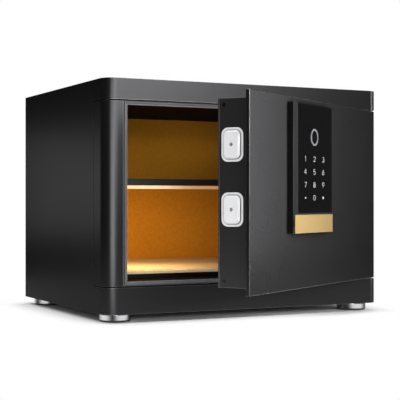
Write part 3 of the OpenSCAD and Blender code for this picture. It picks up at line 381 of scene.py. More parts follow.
def streak_group():
    """Lines of a brushed or drawn metal, with soft handling marks."""
    tree, given, out = new_group(
        "metal_streaks",
        {"Color": GREY, "Roughness": 0.3, "Lines": (20.0, 20.0, 1800.0), "Streak": 0.15}, SURFACE)
    point = object_point(tree)
    drawn = vector(tree, "MULTIPLY", point, given["Lines"])[0]
    lines = noise_value(tree, drawn, 1.0, 3.0, 0.65)
    marks = noise_value(tree, point, 60.0, 4.0, 0.6)
    uneven = swing(tree, lines, given["Streak"])
    level = calc(tree, "ADD", uneven, 1.0)
    lined = calc(tree, "ADD", given["Roughness"], calc(tree, "MULTIPLY", uneven, 0.5))
    rough = calc(tree, "ADD", lined, swing(tree, marks, 0.12), clamp=True)
    return fill_surface(tree, given, out, level, rough, lines)


def cup_group():
    """Four broad soft upright bands round each foot's cup, painted as the dark bands of a
    reflection in the chrome.
    """
    tree, given, out = new_group(
        "drawn_cup",
        {"Color": GREY, "Roughness": 0.1, "Middle": (0.1, 0.1, 0.0), "Depth": 0.8}, SURFACE)
    point = object_point(tree)
    beside = vector(tree, "ABSOLUTE", point)[0]
    around = vector(tree, "SUBTRACT", beside, given["Middle"])[0]
    flat = add(tree, "ShaderNodeSeparateXYZ", {0: around}).outputs
    angle = calc(tree, "ARCTAN2", flat[1], flat[0])
    wave = calc(tree, "COSINE", calc(tree, "MULTIPLY_ADD", angle, 4.0, -4.43))
    soft = calc(tree, "MULTIPLY_ADD", wave, 0.5, 0.5)
    band = calc(tree, "MULTIPLY", calc(tree, "POWER", soft, 1.6), given["Depth"])
    level = calc(tree, "SUBTRACT", 1.0, band)
    rough = calc(tree, "MULTIPLY_ADD", noise_value(tree, point, 90.0, 3.0), 0.08,
                 given["Roughness"], clamp=True)
    return fill_surface(tree, given, out, level, rough, soft)


def edge_wear_and_highlight_group():
    """Where a surface turns a corner: wear and a painted highlight, broken up as handling breaks
    up a coat's edge.
    """
    tree, given, out = new_group("edge_wear_and_highlight_mask", {"Width": 0.0008, "Amount": 0.5}, ["Mask"])
    rounded = add(tree, "ShaderNodeBevel", {"Radius": given["Width"]}, samples=4).outputs[0]
    straight = add(tree, "ShaderNodeNewGeometry").outputs["Normal"]
    same = vector(tree, "DOT_PRODUCT", rounded, straight)["Value"]
    turn = calc(tree, "MULTIPLY", calc(tree, "SUBTRACT", 0.97, same), 9.0, clamp=True)
    broken = calc(tree, "MULTIPLY_ADD", noise_value(tree, object_point(tree), 260.0, 4.0, 0.65),
                  1.1, 0.25, clamp=True)
    return fill_mask(tree, given, out, calc(tree, "MULTIPLY", turn, broken))


def dust_group():
    """Light dust that settles on what faces up."""
    tree, given, out = new_group("settled_dust", {"Amount": 0.1}, ["Mask"])
    normal = add(tree, "ShaderNodeNewGeometry").outputs["Normal"]
    upward = add(tree, "ShaderNodeSeparateXYZ", {0: normal}).outputs[2]
    facing = calc(tree, "MULTIPLY", calc(tree, "SUBTRACT", upward, 0.6), 2.5, clamp=True)
    fine = noise_value(tree, object_point(tree), 90.0, 6.0, 0.7)
    drift = noise_value(tree, object_point(tree), 7.0, 2.0)
    cover = calc(tree, "MULTIPLY", calc(tree, "MULTIPLY", fine, drift),
                 calc(tree, "MULTIPLY", facing, 2.0))
    return fill_mask(tree, given, out, cover, clamp=True)


def seam_group():
    """Painted shade where two surfaces meet or stand close together, taken from ambient occlusion.
    """
    tree, given, out = new_group("seam_dirt", {"Reach": 0.002, "Amount": 0.8}, ["Mask"])
    open_air = add(tree, "ShaderNodeAmbientOcclusion", {"Distance": given["Reach"]},
                   samples=8).outputs["AO"]
    closed = calc(tree, "MULTIPLY", calc(tree, "SUBTRACT", 0.92, open_air), 2.4, clamp=True)
    patchy = calc(tree, "MULTIPLY_ADD", noise_value(tree, object_point(tree), 180.0, 3.0, 0.6),
                  0.6, 0.6, clamp=True)
    return fill_mask(tree, given, out, calc(tree, "MULTIPLY", closed, patchy))


def glow_group():
    """Light of a diffuser over a short strip of diodes, which is dim and warm at both ends."""
    tree, given, out = new_group("lamp_glow", {"Color": (0.9, 0.6, 0.3, 1.0)}, ["Color"])
    along = add(tree, "ShaderNodeSeparateXYZ", {0: object_point(tree)}).outputs[0]
    away = calc(tree, "ABSOLUTE", calc(tree, "SUBTRACT", along, LAMP_X))
    ends = smooth_step(tree, away, LAMP_LIT, LAMP_DIM)
    wave = calc(tree, "COSINE", calc(tree, "MULTIPLY", along, 2 * pi / DIODE_PITCH))
    diodes = calc(tree, "MULTIPLY_ADD", wave, 0.06, 0.94)
    even = scaled(tree, given["Color"], diodes)
    tree.links.new(blend_color(tree, ends, even, DIM_LAMP), out["Color"])
    return tree


BUILDERS = {"grain": grain_group, "pile": pile_group, "streaks": streak_group, "cup": cup_group,
            "edge": edge_wear_and_highlight_group, "dust": dust_group, "seam": seam_group, "glow": glow_group}
GROUPS = {}


def place_group(tree, name, values):
    """One use of a shared effect, which is built the first time that a material asks for it."""
    if name not in GROUPS:
        GROUPS[name] = BUILDERS[name]()
    made = tree.nodes.new("ShaderNodeGroup")
    made.node_tree = GROUPS[name]
    for key, value in values.items():
        made.inputs[key].default_value = value
    return made.outputs


def finish(name, effect, values, bump=0.0, edge_wear_and_highlight=None, dust=0.0, seams=None, shader=None):
    """A material: a shared effect for colour, roughness and height, then worn edges with a painted
    highlight, painted shade in gaps, and dust.

    bump is the depth of the relief in metres, edge_wear_and_highlight is (width, amount, colour of
    the worn and lit edge), seams is (reach, amount) of the painted shade in gaps, and
    shader holds values for the Principled BSDF.
    """
    made = bpy.data.materials.new(name)
    tree = empty_tree(made)
    surface = place_group(tree, effect, values)
    layers = []
    # Layers over the colour: worn edges with a painted highlight, painted shade in gaps, and dust
    if edge_wear_and_highlight:
        layers.append(("edge", {"Width": edge_wear_and_highlight[0], "Amount": edge_wear_and_highlight[1]}, rgba(edge_wear_and_highlight[2])))
    if seams:
        layers.append(("seam", {"Reach": seams[0], "Amount": seams[1]}, GAP_SHADE))
    if dust:
        layers.append(("dust", {"Amount": dust}, DUST))
    color = surface["Color"]
    for layer, amounts, top in layers:
        color = blend_color(tree, place_group(tree, layer, amounts)["Mask"], color, top)
    feeds = {"Base Color": color, "Roughness": surface["Roughness"]}
    if bump:
        relief = {"Height": surface["Height"], "Distance": bump}
        feeds["Normal"] = add(tree, "ShaderNodeBump", relief).outputs[0]
    feeds.update(shader or {})
    principled = add(tree, "ShaderNodeBsdfPrincipled", feeds)
    add(tree, "ShaderNodeOutputMaterial", {"Surface": principled.outputs[0]})
    return made


# Pieces


def paint(material, *names):
    """Puts a material on CAD nodes."""
    for name in names:
        slots = nodes[name].material_slots
        for slot in slots:
            slot.material = material
        if not slots:
            nodes[name].data.materials.append(material)


def round_edges(piece, width, segments=2):
    """A bevel on the sharp edges of a piece, so that they catch the light as real edges do."""
    made = piece.modifiers.new("edges", "BEVEL")
    made.width = width
    made.segments = segments
    made.limit_method = "ANGLE"
    made.angle_limit = EDGE_ANGLE
    made.miter_outer = "MITER_ARC"
    made.use_clamp_overlap = True
    flat = piece.modifiers.new("flat_faces", "WEIGHTED_NORMAL")
    flat.mode = "FACE_AREA"
    flat.weight = 100
    flat.keep_sharp = True


def soften(width, *names, segments=2):
    """Welds CAD nodes, clears the lines in their flat faces and rounds their edges."""
    for name in names:
        piece = nodes[name]
        weld = piece.modifiers.new("weld", "WELD")
        weld.merge_threshold = WELD
        flat = piece.modifiers.new("flat", "DECIMATE")
        flat.decimate_type = "DISSOLVE"
        flat.angle_limit = radians(0.3)
        round_edges(piece, width, segments)


def new_piece(name, mesh, material, body):
    """A new object that rides on a body and has the given material."""
    piece = new_object(name, mesh)
    mesh.materials.clear()
    mesh.materials.append(material)
    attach(piece, body)
    return piece


def write_mesh(shape, mesh):
    """Writes an edited shape into a mesh."""
    shape.to_mesh(mesh)
    shape.free()
    return mesh


def finished_mesh(shape, name):
    """The shape as a new mesh whose faces look outward."""
    bmesh.ops.recalc_face_normals(shape, faces=shape.faces)
    return write_mesh(shape, bpy.data.meshes.new(name))


def welded_shape(mesh):
    """A mesh opened for editing, with the points that lie on each other joined."""
    shape = bmesh.new()
    shape.from_mesh(mesh)
    bmesh.ops.remove_doubles(shape, verts=shape.verts, dist=WELD)
    return shape


def joined_shell(names):
    """One mesh of the welded sheets, without the lines between sheets that lie flush."""
    meshes = [nodes[name].data.copy() for name in names]
    base, *others = [new_object("sheet_copy", write_mesh(welded_shape(mesh), mesh))
                     for mesh in meshes]
    for other in others:
        union = base.modifiers.new("join", "BOOLEAN")
        union.operation = "UNION"
        union.solver = "EXACT"
        union.object = other
    graph = bpy.context.evaluated_depsgraph_get()
    graph.update()
    mesh = bpy.data.meshes.new_from_object(base.evaluated_get(graph))
    for piece in (base, *others):
        bpy.data.objects.remove(piece)
    shape = welded_shape(mesh)
    bmesh.ops.dissolve_limit(shape, angle_limit=radians(0.5), verts=shape.verts,
                             edges=shape.edges)
    write_mesh(shape, mesh)
    mesh.shade_smooth()
    mesh.set_sharp_from_angle(angle=EDGE_ANGLE)
    return mesh


class SAFE_OT_cabinet(bpy.types.Operator):
    """Joins the cabinet's sheets into one shell with rounded edges, and coats it and the pillar"""
    bl_idname = "safe.cabinet"
    bl_label = "Cabinet shell"

    def execute(self, context):
        look = context.scene.safe_cabinet
        # Painted highlight along the worn edges, and painted shade in the gaps between sheets
        coat = finish("cabinet_coat", "grain",
                      {"Color": rgba(look.coat_color), "Roughness": look.coat_roughness,
                       "Grain Size": 1500.0, "Patches": 0.10},
                      bump=0.00001, edge_wear_and_highlight=(0.0008, 0.6, (0.36, 0.36, 0.365)), dust=0.03,
                      seams=(0.0022, 0.9), shader=SATIN_BLACK)
        mesh = joined_shell(SHELL_NODES)
        shell = new_piece("cabinet_shell", mesh, coat, "cabinet")
        round_edges(shell, look.edge_round, segments=3)
        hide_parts(*SHELL_NODES)
        paint(coat, "left_pillar")
        soften(look.edge_round * 0.6, "left_pillar")
        return {"FINISHED"}


def moulding_mesh(low, high):
    """Four ribbed strips round the doorway, mitred at its corners."""
    half = ((high[0] - low[0]) / 2 - MOULDING_W, (high[2] - low[2]) / 2 - MOULDING_W)
    middle = Vector(((low[0] + high[0]) / 2, high[1], (low[2] + high[2]) / 2))
    shape = bmesh.new()
    for turn in range(4):
        reach, run = half[turn % 2], half[1 - turn % 2]
        way = Matrix.Rotation(radians(90 * turn), 3, "Y")
        ends = []
        for side in (-1, 1):
            outline = [Vector((reach + out / 1000, -front / 1000,
                               side * (run + out / 1000 - MITRE_JOINT)))
                       for out, front in MOULDING]
            ends.append([shape.verts.new(middle + way @ point) for point in outline])
        for i in range(len(MOULDING)):
            after = (i + 1) % len(MOULDING)
            face = shape.faces.new((ends[0][i], ends[0][after], ends[1][after], ends[1][i]))
            # Bead faces take the satin trim, the others the dark inner coat as painted shade
            face.material_index = 0 if i in BEAD else 1
        shape.faces.new(ends[0])
        shape.faces.new(ends[1])
    return finished_mesh(shape, "trim_moulding")


class SAFE_OT_doorway(bpy.types.Operator):
    """Finishes the trim strips, the frame round the doorway, and the zinc and brass fittings"""
    bl_idname = "safe.doorway"
    bl_label = "Doorway"

    def execute(self, context):
        look = context.scene.safe_cabinet
        # Painted highlight along the worn edges, and painted shade in the gaps
        inner = finish("inner_coat", "grain",
                       {"Color": (0.024, 0.024, 0.025, 1), "Roughness": 0.42,
                        "Grain Size": 1100.0, "Patches": 0.15},
                       bump=0.00003, edge_wear_and_highlight=(0.0006, 0.3, (0.08, 0.08, 0.08)), dust=0.03,
                       seams=(0.0020, 1.0), shader=DULL_BLACK)
        # Painted highlight along the worn edges, and painted shade in the gaps
        trim = finish("trim_satin", "streaks",
                      {"Color": rgba(look.trim_color), "Roughness": 0.34,
                       "Lines": (900.0, 900.0, 30.0), "Streak": 0.2},
                      bump=0.00001, edge_wear_and_highlight=(0.0005, 0.6, (0.42, 0.42, 0.43)), seams=(0.0020, 1.0),
                      shader={"Specular IOR Level": 0.3})
        mesh = moulding_mesh(*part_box("trim_frame"))
        moulding = new_piece("trim_moulding", mesh, trim, "cabinet")
        # The dark inner coat on the faces beside the bead is painted shade in the grooves
        mesh.materials.append(inner)
        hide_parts("trim_frame")
        paint(inner, "frame_plates", "left_jamb", "hinge_post", "sill_channel", "lintel_channel",
              "floor_pan", "ceiling_pan", "shelf_rails")
        # The bright edge of each screw head is a painted glint
        screws = finish("black_oxide", "grain",
                        {"Color": (0.05, 0.05, 0.052, 1), "Roughness": 0.26,
                         "Grain Size": 1500.0, "Patches": 0.2},
                        edge_wear_and_highlight=(0.0007, 1.0, (0.60, 0.60, 0.61)), shader=METAL)
        paint(screws, "edge_screws")
        soften(SHEET_ROUND, "frame_plates", "left_jamb", "hinge_post", "sill_channel",
               "lintel_channel")
        # The light edges are wear with a painted highlight
        zinc = finish("zinc_plate", "streaks",
                      {"Color": (0.52, 0.53, 0.55, 1), "Roughness": 0.36,
                       "Lines": (60.0, 60.0, 1200.0), "Streak": 0.25},
                      bump=0.00001, edge_wear_and_highlight=(0.0006, 0.4, (0.78, 0.78, 0.78)), shader=METAL)
        paint(zinc, "hinge_plates", "hinge_blocks", "foot_screws", "gearbox_posts",
              "bolt_carriage", "cylinder_nut", "drive_motor")
        soften(SHEET_ROUND, "hinge_blocks", "hinge_plates")
        brass = finish("brass_turned", "streaks",
                       {"Color": (0.72, 0.55, 0.26, 1), "Roughness": 0.28,
                        "Lines": (40.0, 40.0, 2400.0), "Streak": 0.2},
                       bump=0.00001, shader=METAL)
        paint(brass, "hinge_bushes", "hinge_washer", "key_plug", "board_posts")
        return {"FINISHED"}


class SAFE_OT_inside(bpy.types.Operator):
    """Flocks the liner boards and finishes the shelf and the lamp under it"""
    bl_idname = "safe.inside"
    bl_label = "Inside"

    def execute(self, context):
        look = context.scene.safe_inside
        flock = finish("liner_flock", "pile",
                       {"Color": rgba(look.liner_color), "Root": 0.35, "Pile Size": 1400.0,
                        "Nap": 0.18},
                       bump=0.00012,
                       shader={"Specular IOR Level": 0.2, "Sheen Weight": 0.15,
                               "Sheen Roughness": 0.5, "Sheen Tint": (1.0, 0.75, 0.45, 1.0)})
        paint(flock, "liner_back", "liner_left", "liner_right")
        # Painted light: the shelf's coat is about three times as light as the inner coat so that
        # its lip reads lit, and its light edges are wear with a painted highlight
        shelf_coat_lightened = finish("shelf_coat_lightened", "grain",
                            {"Color": (0.075, 0.075, 0.076, 1), "Roughness": 0.40,
                             "Grain Size": 1100.0, "Patches": 0.15},
                            bump=0.00002, edge_wear_and_highlight=(0.0006, 0.3, (0.2, 0.2, 0.2)), shader=DULL_BLACK)
        paint(shelf_coat_lightened, "shelf")
        soften(SHELF_ROUND, "shelf")
        soften(THIN_ROUND, "shelf_rails")
        channel = finish("lamp_channel_metal", "streaks",
                         {"Color": (0.70, 0.70, 0.70, 1), "Roughness": 0.35,
                          "Lines": (30.0, 900.0, 900.0), "Streak": 0.15},
                         bump=0.00001, shader=METAL)
        paint(channel, "lamp_channel")
        soften(THIN_ROUND, "lamp_channel")
        lit = finish("lamp_diffuser_lit", "grain",
                     {"Color": (0.42, 0.33, 0.21, 1), "Roughness": 0.55, "Grain Size": 900.0,
                      "Patches": 0.05},
                     bump=0.00002, shader={"Emission Strength": 1.0})
        tree = lit.node_tree
        glow = place_group(tree, "glow", {"Color": rgba(look.lamp_color)})["Color"]
        tree.links.new(glow, tree.nodes["Principled BSDF"].inputs["Emission Color"])
        paint(lit, "lamp_diffuser")
        return {"FINISHED"}


def mat_mesh(low, high, edge):
    """A flat pad with round corners and a round upper edge, on a fine grid with small waves."""
    shape = bmesh.new()
    bmesh.ops.create_cube(shape, size=1.0)
    size = high - low
    for point in shape.verts:
        point.co = Vector(low[i] + size[i] * (point.co[i] + 0.5) for i in range(3))
    upright = [e for e in shape.edges if abs(e.verts[0].co.z - e.verts[1].co.z) > size.z / 2]
    bmesh.ops.bevel(shape, geom=upright, offset=MAT_CORNER, segments=6, profile=0.5,
                    affect="EDGES")
    top = max(shape.faces, key=lambda f: f.calc_center_median().z)
    bmesh.ops.bevel(shape, geom=list(top.edges), offset=edge, segments=5, profile=0.5,
                    affect="EDGES")
    for axis in (0, 1):
        cuts = int(size[axis] / MAT_GRID)
        normal = Vector((1 - axis, axis, 0))
        for i in range(1, cuts):
            bmesh.ops.bisect_plane(shape, geom=shape.verts[:] + shape.edges[:] + shape.faces[:],
                                   plane_co=low + normal * (size[axis] * i / cuts),
                                   plane_no=normal)
    for point in shape.verts:
        place = point.co
        if place.z > low.z + size.z * 0.4:
            inward = min(place.x - low.x, high.x - place.x, place.y - low.y, high.y - place.y)
            wave = noise.noise(place * 38.0) * 0.6 + noise.noise(place * 95.0) * 0.4
            place.z += MAT_WAVE * wave * min(1.0, inward / MAT_CALM)
            place.z += MAT_WAVE * 0.8 * min(1.0, inward / MAT_CROWN)
    mesh = finished_mesh(shape, "floor_mat_pile")
    mesh.shade_smooth()
    mesh.set_sharp_from_angle(angle=radians(50))
    return mesh


class SAFE_OT_mat(bpy.types.Operator):
    """Lays the soft floor mat in place of its plain solid"""
    bl_idname = "safe.mat"
    bl_label = "Floor mat"

    def execute(self, context):
        look = context.scene.safe_inside
        pile = finish("mat_pile", "pile",
                      {"Color": rgba(look.mat_color), "Root": 0.30, "Pile Size": 1100.0,
                       "Nap": 0.22},
                      bump=0.0002,
                      shader={"Specular IOR Level": 0.2, "Sheen Weight": 0.06,
                              "Sheen Roughness": 0.4, "Sheen Tint": (1.0, 0.86, 0.66, 1.0)})
        low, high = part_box("floor_mat")
        mesh = mat_mesh(Vector(low), Vector(high) - Vector((0, 0, MAT_ROOM)), look.mat_round)
        mat = new_piece("floor_mat_pile", mesh, pile, "cabinet")
        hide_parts("floor_mat")
        return {"FINISHED"}


class SAFE_OT_feet(bpy.types.Operator):
    """Plates the feet and the other chrome pieces, and finishes the feet's rubber pads"""
    bl_idname = "safe.feet"
    bl_label = "Feet"

    def execute(self, context):
        look = context.scene.safe_cabinet
        chrome = finish("chrome_plate", "streaks",
                        {"Color": rgba(look.plating_color), "Roughness": 0.10,
                         "Lines": (30.0, 30.0, 2600.0), "Streak": 0.08},
                        bump=0.00001, shader=METAL)
        low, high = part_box("foot_cups")
        # Painted reflection: dark upright bands round each cup, and painted shade where the cup
        # meets the pad
        drawn = finish("chrome_painted_reflection", "cup",
                       {"Color": (0.68, 0.68, 0.70, 1), "Roughness": 0.08, "Depth": 0.93,
                        "Middle": (high[0] - CUP_RADIUS, -low[1] - CUP_RADIUS, 0.0)},
                       seams=(0.003, 0.8), shader=METAL)
        paint(drawn, "foot_cups")
        paint(chrome, "key_cylinder", "hinge_pins", "rear_cover_screws", "guide_studs")
        rubber = finish("foot_rubber", "grain",
                        {"Color": (0.018, 0.018, 0.018, 1), "Roughness": 0.75,
                         "Grain Size": 900.0, "Patches": 0.3},
                        bump=0.00005, dust=0.1)
        paint(rubber, "foot_pads")
        return {"FINISHED"}


class SAFE_OT_door(bpy.types.Operator):
    """Coats the door's plate, box and rear cover"""
    bl_idname = "safe.door"
    bl_label = "Door"

    def execute(self, context):
        look = context.scene.safe_door
        # Painted highlight along the worn edges, and painted shadow beside the panel and other
        # raised parts
        coat = finish("door_coat", "grain",
                      {"Color": rgba(look.coat_color), "Roughness": look.coat_roughness,
                       "Grain Size": 1500.0, "Patches": 0.10},
                      bump=0.000006, edge_wear_and_highlight=(0.0012, 0.9, BARE_STEEL_HIGHLIGHT), dust=0.03,
                      seams=(0.024, 0.75), shader=SATIN_BLACK)
        paint(coat, "door_skin")
        # Painted light: the box and rear cover get a coat about twice as light as the door's, with
        # a painted highlight along the worn edges
        lightened_box_coat = finish("door_box_coat_lightened", "grain",
                          {"Color": (0.062, 0.062, 0.063, 1), "Roughness": 0.33,
                           "Grain Size": 1300.0, "Patches": 0.12},
                          bump=0.00001, edge_wear_and_highlight=(0.0010, 0.8, BARE_STEEL_HIGHLIGHT), dust=0.03,
                          shader=SATIN_BLACK)
        paint(lightened_box_coat, "door_box", "rear_cover")
        soften(look.edge_round, "door_skin", segments=3)
        soften(look.edge_round, "door_box", "rear_cover")
        return {"FINISHED"}


class SAFE_OT_bolts(bpy.types.Operator):
    """Finishes the locking bolts, their collars and the pinion that drives them"""
    bl_idname = "safe.bolts"
    bl_label = "Bolts"

    def execute(self, context):
        look = context.scene.safe_door
        # Painted shade in the gaps round each bolt gives its dark outline
        nickel = finish("bolt_nickel", "streaks",
                        {"Color": rgba(look.bolt_color), "Roughness": 0.42,
                         "Lines": (200.0, 200.0, 1500.0), "Streak": 0.10},
                        bump=0.000006, seams=(0.0022, 1.0), shader={"Metallic": 0.45})
        paint(nickel, "locking_bolts", "bolt_collars")
        soften(SHEET_ROUND, "locking_bolts", "bolt_collars")
        nylon = finish("pinion_nylon", "grain",
                       {"Color": (0.80, 0.77, 0.66, 1), "Roughness": 0.45, "Grain Size": 700.0,
                        "Patches": 0.1},
                       bump=0.00002)
        paint(nylon, "drive_pinion")
        return {"FINISHED"}


def arc(x, y, wide, high, first, last):
    """Points along an ellipse between two angles in degrees."""
    turns = [radians(first + (last - first) * i / ARC_STEPS) for i in range(ARC_STEPS + 1)]
    return [(x + wide * cos(turn), y + high * sin(turn)) for turn in turns]


def ray(turn, reach=0.2):
    """A straight stroke through the middle at an angle in degrees."""
    x, y = reach * cos(radians(turn)), reach * sin(radians(turn))
    return [(x, y), (-x, -y)]


# The pen strokes of each mark. A number is 1 high and about 0.6 wide, with its middle at 0, 0.
STROKES = {
    "0": (arc(0.0, 0.0, 0.28, 0.5, 0, 360),),
    "1": ([(-0.18, 0.30), (0.04, 0.5), (0.04, -0.5)],),
    "2": (arc(0.0, 0.22, 0.27, 0.28, 165, -38) + [(-0.28, -0.5), (0.29, -0.5)],),
    "3": (arc(0.0, 0.26, 0.24, 0.24, 150, -90), arc(0.0, -0.24, 0.28, 0.26, 90, -150)),
    "4": ([(0.12, -0.5), (0.12, 0.5), (-0.29, -0.2), (0.30, -0.2)],),
    "5": ([(0.25, 0.5), (-0.20, 0.5), (-0.24, 0.04)] + arc(0.0, -0.18, 0.28, 0.32, 130, -150),),
    "6": ([(0.13, 0.5), (-0.25, -0.09)], arc(0.0, -0.22, 0.28, 0.28, 0, 360)),
    "7": ([(-0.28, 0.5), (0.28, 0.5), (-0.08, -0.5)],),
    "8": (arc(0.0, 0.26, 0.23, 0.24, 0, 360), arc(0.0, -0.24, 0.28, 0.26, 0, 360)),
    "9": ([(-0.13, -0.5), (0.25, 0.09)], arc(0.0, 0.22, 0.28, 0.28, 0, 360)),
    "*": (ray(90), ray(30), ray(-30)),
    "#": ([(-0.10, 0.28), (-0.10, -0.28)], [(0.10, 0.28), (0.10, -0.28)],
          [(-0.26, 0.10), (0.26, 0.10)], [(-0.26, -0.10), (0.26, -0.10)]),
}


def draw_stroke(shape, line, half, deep, place):
    """Adds one flat stroke, whose points `place` puts on the door."""
    points = [Vector(point) for point in line]
    closed = (points[0] - points[-1]).length < 1e-6
    if closed:
        points.pop()
    count = len(points)
    rings = []
    for i, point in enumerate(points):
        onward = closed or i < count - 1
        ahead = points[(i + 1) % count] - point if onward else point - points[i - 1]
        behind = point - points[i - 1] if closed or i else ahead
        ahead, behind = ahead.normalized(), behind.normalized()
        side = Vector((-ahead.y - behind.y, ahead.x + behind.x)).normalized()
        reach = side * half / max(0.5, side.dot(Vector((-ahead.y, ahead.x))))
        rings.append([shape.verts.new(place(point + reach * way, front))
                      for way, front in ((1, deep), (-1, deep), (-1, -deep), (1, -deep))])
    for i in range(count if closed else count - 1):
        here, there = rings[i], rings[(i + 1) % count]
        for k in range(4):
            shape.faces.new((here[k], here[(k + 1) % 4], there[(k + 1) % 4], there[k]))
    if not closed:
        shape.faces.new(rings[0])
        shape.faces.new(rings[-1])


def keypad_mesh(look):
    """The numbers of the keypad as one thin mesh, where the open door holds them."""
    half = look.mark_pen / look.mark_height / 2
    shape = bmesh.new()
    for row, marks in enumerate(("123", "456", "789", "*0#")):
        for column, mark in enumerate(marks):
            x = KEYPAD_TOP[0] + (column - 1) * look.mark_column
            z = KEYPAD_TOP[1] - row * look.mark_row

            def place(point, front):
                return door_place(x + point.x * look.mark_height * MARK_STRETCH,
                                  KEYPAD_Y - front, z + point.y * look.mark_height)

            for i, line in enumerate(STROKES[mark]):
                draw_stroke(shape, line, half, PRINT_DEPTH + STROKE_STEP * i, place)
    return finished_mesh(shape, "keypad_numbers")


class SAFE_OT_panel(bpy.types.Operator):
    """Finishes the control panel and prints the numbers of its keypad"""
    bl_idname = "safe.panel"
    bl_label = "Control panel"

    def execute(self, context):
        look = context.scene.safe_panel
        # Painted highlight along the worn edges
        plastic = finish("black_plastic", "grain",
                         {"Color": (0.018, 0.018, 0.019, 1), "Roughness": 0.34,
                          "Grain Size": 1000.0, "Patches": 0.12},
                         bump=0.000015, edge_wear_and_highlight=(0.0006, 0.7, (0.24, 0.24, 0.243)),
                         shader=SATIN_BLACK)
        paint(plastic, "panel_housing", "battery_tray", "battery_lid", "reset_switch", "gearbox")
        soften(COVER_ROUND, "panel_housing", "battery_lid")
        glass = finish("touch_glass", "grain",
                       {"Color": rgba(look.glass_color), "Roughness": 0.05, "Grain Size": 300.0,
                        "Patches": 0.12},
                       shader={"Specular IOR Level": 0.10})
        paint(glass, "touch_glass")
        sensor = finish("sensor_glass", "grain",
                        {"Color": (0.010, 0.010, 0.012, 1), "Roughness": 0.42,
                         "Grain Size": 400.0, "Patches": 0.2},
                        shader=DULL_BLACK)
        paint(sensor, "fingerprint_sensor")
        ring = finish("ring_plating", "streaks",
                      {"Color": (0.19, 0.19, 0.195, 1), "Roughness": 0.36,
                       "Lines": (900.0, 900.0, 900.0), "Streak": 0.1},
                      shader={"Metallic": 0.7})
        paint(ring, "fingerprint_ring")
        # Painted highlight along the worn chamfered edges
        gold = finish("gold_anodised", "streaks",
                      {"Color": rgba(look.gold_color), "Roughness": 0.34,
                       "Lines": (25.0, 25.0, 1500.0), "Streak": 0.14},
                      bump=0.000006, edge_wear_and_highlight=(0.0005, 0.5, (0.92, 0.78, 0.48)), shader=METAL)
        paint(gold, "key_cover")
        soften(COVER_ROUND, "key_cover")
        # The printed numbers glow faintly, a painted glow where no lamp lights them
        marks = finish("keypad_print_painted_glow", "grain",
                       {"Color": rgba(look.mark_color), "Roughness": 0.5, "Grain Size": 1400.0,
                        "Patches": 0.15},
                       shader={"Emission Color": rgba(look.mark_color),
                               "Emission Strength": 0.045})
        new_piece("keypad_numbers", keypad_mesh(look), marks, "door")
        return {"FINISHED"}


class SAFE_OT_works(bpy.types.Operator):
    """Finishes the board, the cells and the reset button behind the door"""
    bl_idname = "safe.works"
    bl_label = "Inner works"

    def execute(self, context):
        board = finish("board_mask", "grain",
                       {"Color": (0.02, 0.15, 0.05, 1), "Roughness": 0.35, "Grain Size": 260.0,
                        "Patches": 0.6},
                       bump=0.00004, shader={"Coat Weight": 0.3, "Coat Roughness": 0.2})
        paint(board, "control_board")
        sleeve = finish("cell_sleeve", "streaks",
                        {"Color": (0.40, 0.36, 0.30, 1), "Roughness": 0.3,
                         "Lines": (900.0, 900.0, 40.0), "Streak": 0.1},
                        shader={"Metallic": 0.8})
        paint(sleeve, "battery_cells")
        red = finish("red_plastic", "grain",
                     {"Color": (0.48, 0.03, 0.025, 1), "Roughness": 0.38, "Grain Size": 900.0,
                      "Patches": 0.1},
                     bump=0.00001)
        paint(red, "reset_button")
        soften(SHEET_ROUND, "reset_button")
        return {"FINISHED"}


# Studio


def area_light(name, wide, high, energy, place, turn):
    """A rectangular light that the camera doesn't see."""
    light = bpy.data.lights.new(name, "AREA")
    light.shape = "RECTANGLE"
    light.size, light.size_y = wide, high
    light.energy = energy
    holder = new_object(name, light)
    holder.location = place
    holder.rotation_euler = turn
    holder.visible_camera = False
    return light


def softbox(name, azimuth, distance, width, low, high, tilt, radiance):
    """A softbox round the object. Azimuth 0 is in front, and it grows to the right.

    A tilt of 90 is upright and 0 looks down, in degrees. A radiance of 1 looks white where a
    mirror shows it.
    """
    way = radians(azimuth)
    area_light(name, width, high - low, radiance * pi * width * (high - low),
               (distance * sin(way), -distance * cos(way), (low + high) / 2),
               (radians(tilt), 0.0, way))


def shelf_lamp(look):
    """The light that the lamp under the shelf gives. It starts just below the diffuser."""
    low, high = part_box("lamp_diffuser")
    deep = high[1] - low[1]
    place = (LAMP_X, (low[1] + high[1]) / 2, low[2] - LAMP_GAP - deep / 2 * sin(LAMP_TILT))
    light = area_light("shelf_lamp", (high[0] - low[0]) * LAMP_SHARE, deep, look.lamp_power,
                       place, (LAMP_TILT, 0.0, 0.0))
    light.color = LAMP_LIGHT
    light.spread = LAMP_SPREAD


def studio_camera(look):
    """The camera at the photograph's viewing angle."""
    camera = bpy.data.cameras.new("camera")
    camera.lens = look.focal_length
    camera.sensor_width = CAMERA_SENSOR
    camera.shift_y = CAMERA_SHIFT
    camera.clip_start = CAMERA_NEAR
    holder = new_object("camera", camera)
    holder.location = CAMERA_PLACE
    holder.rotation_euler = (radians(90), 0.0, CAMERA_TURN)
    bpy.context.scene.camera = holder


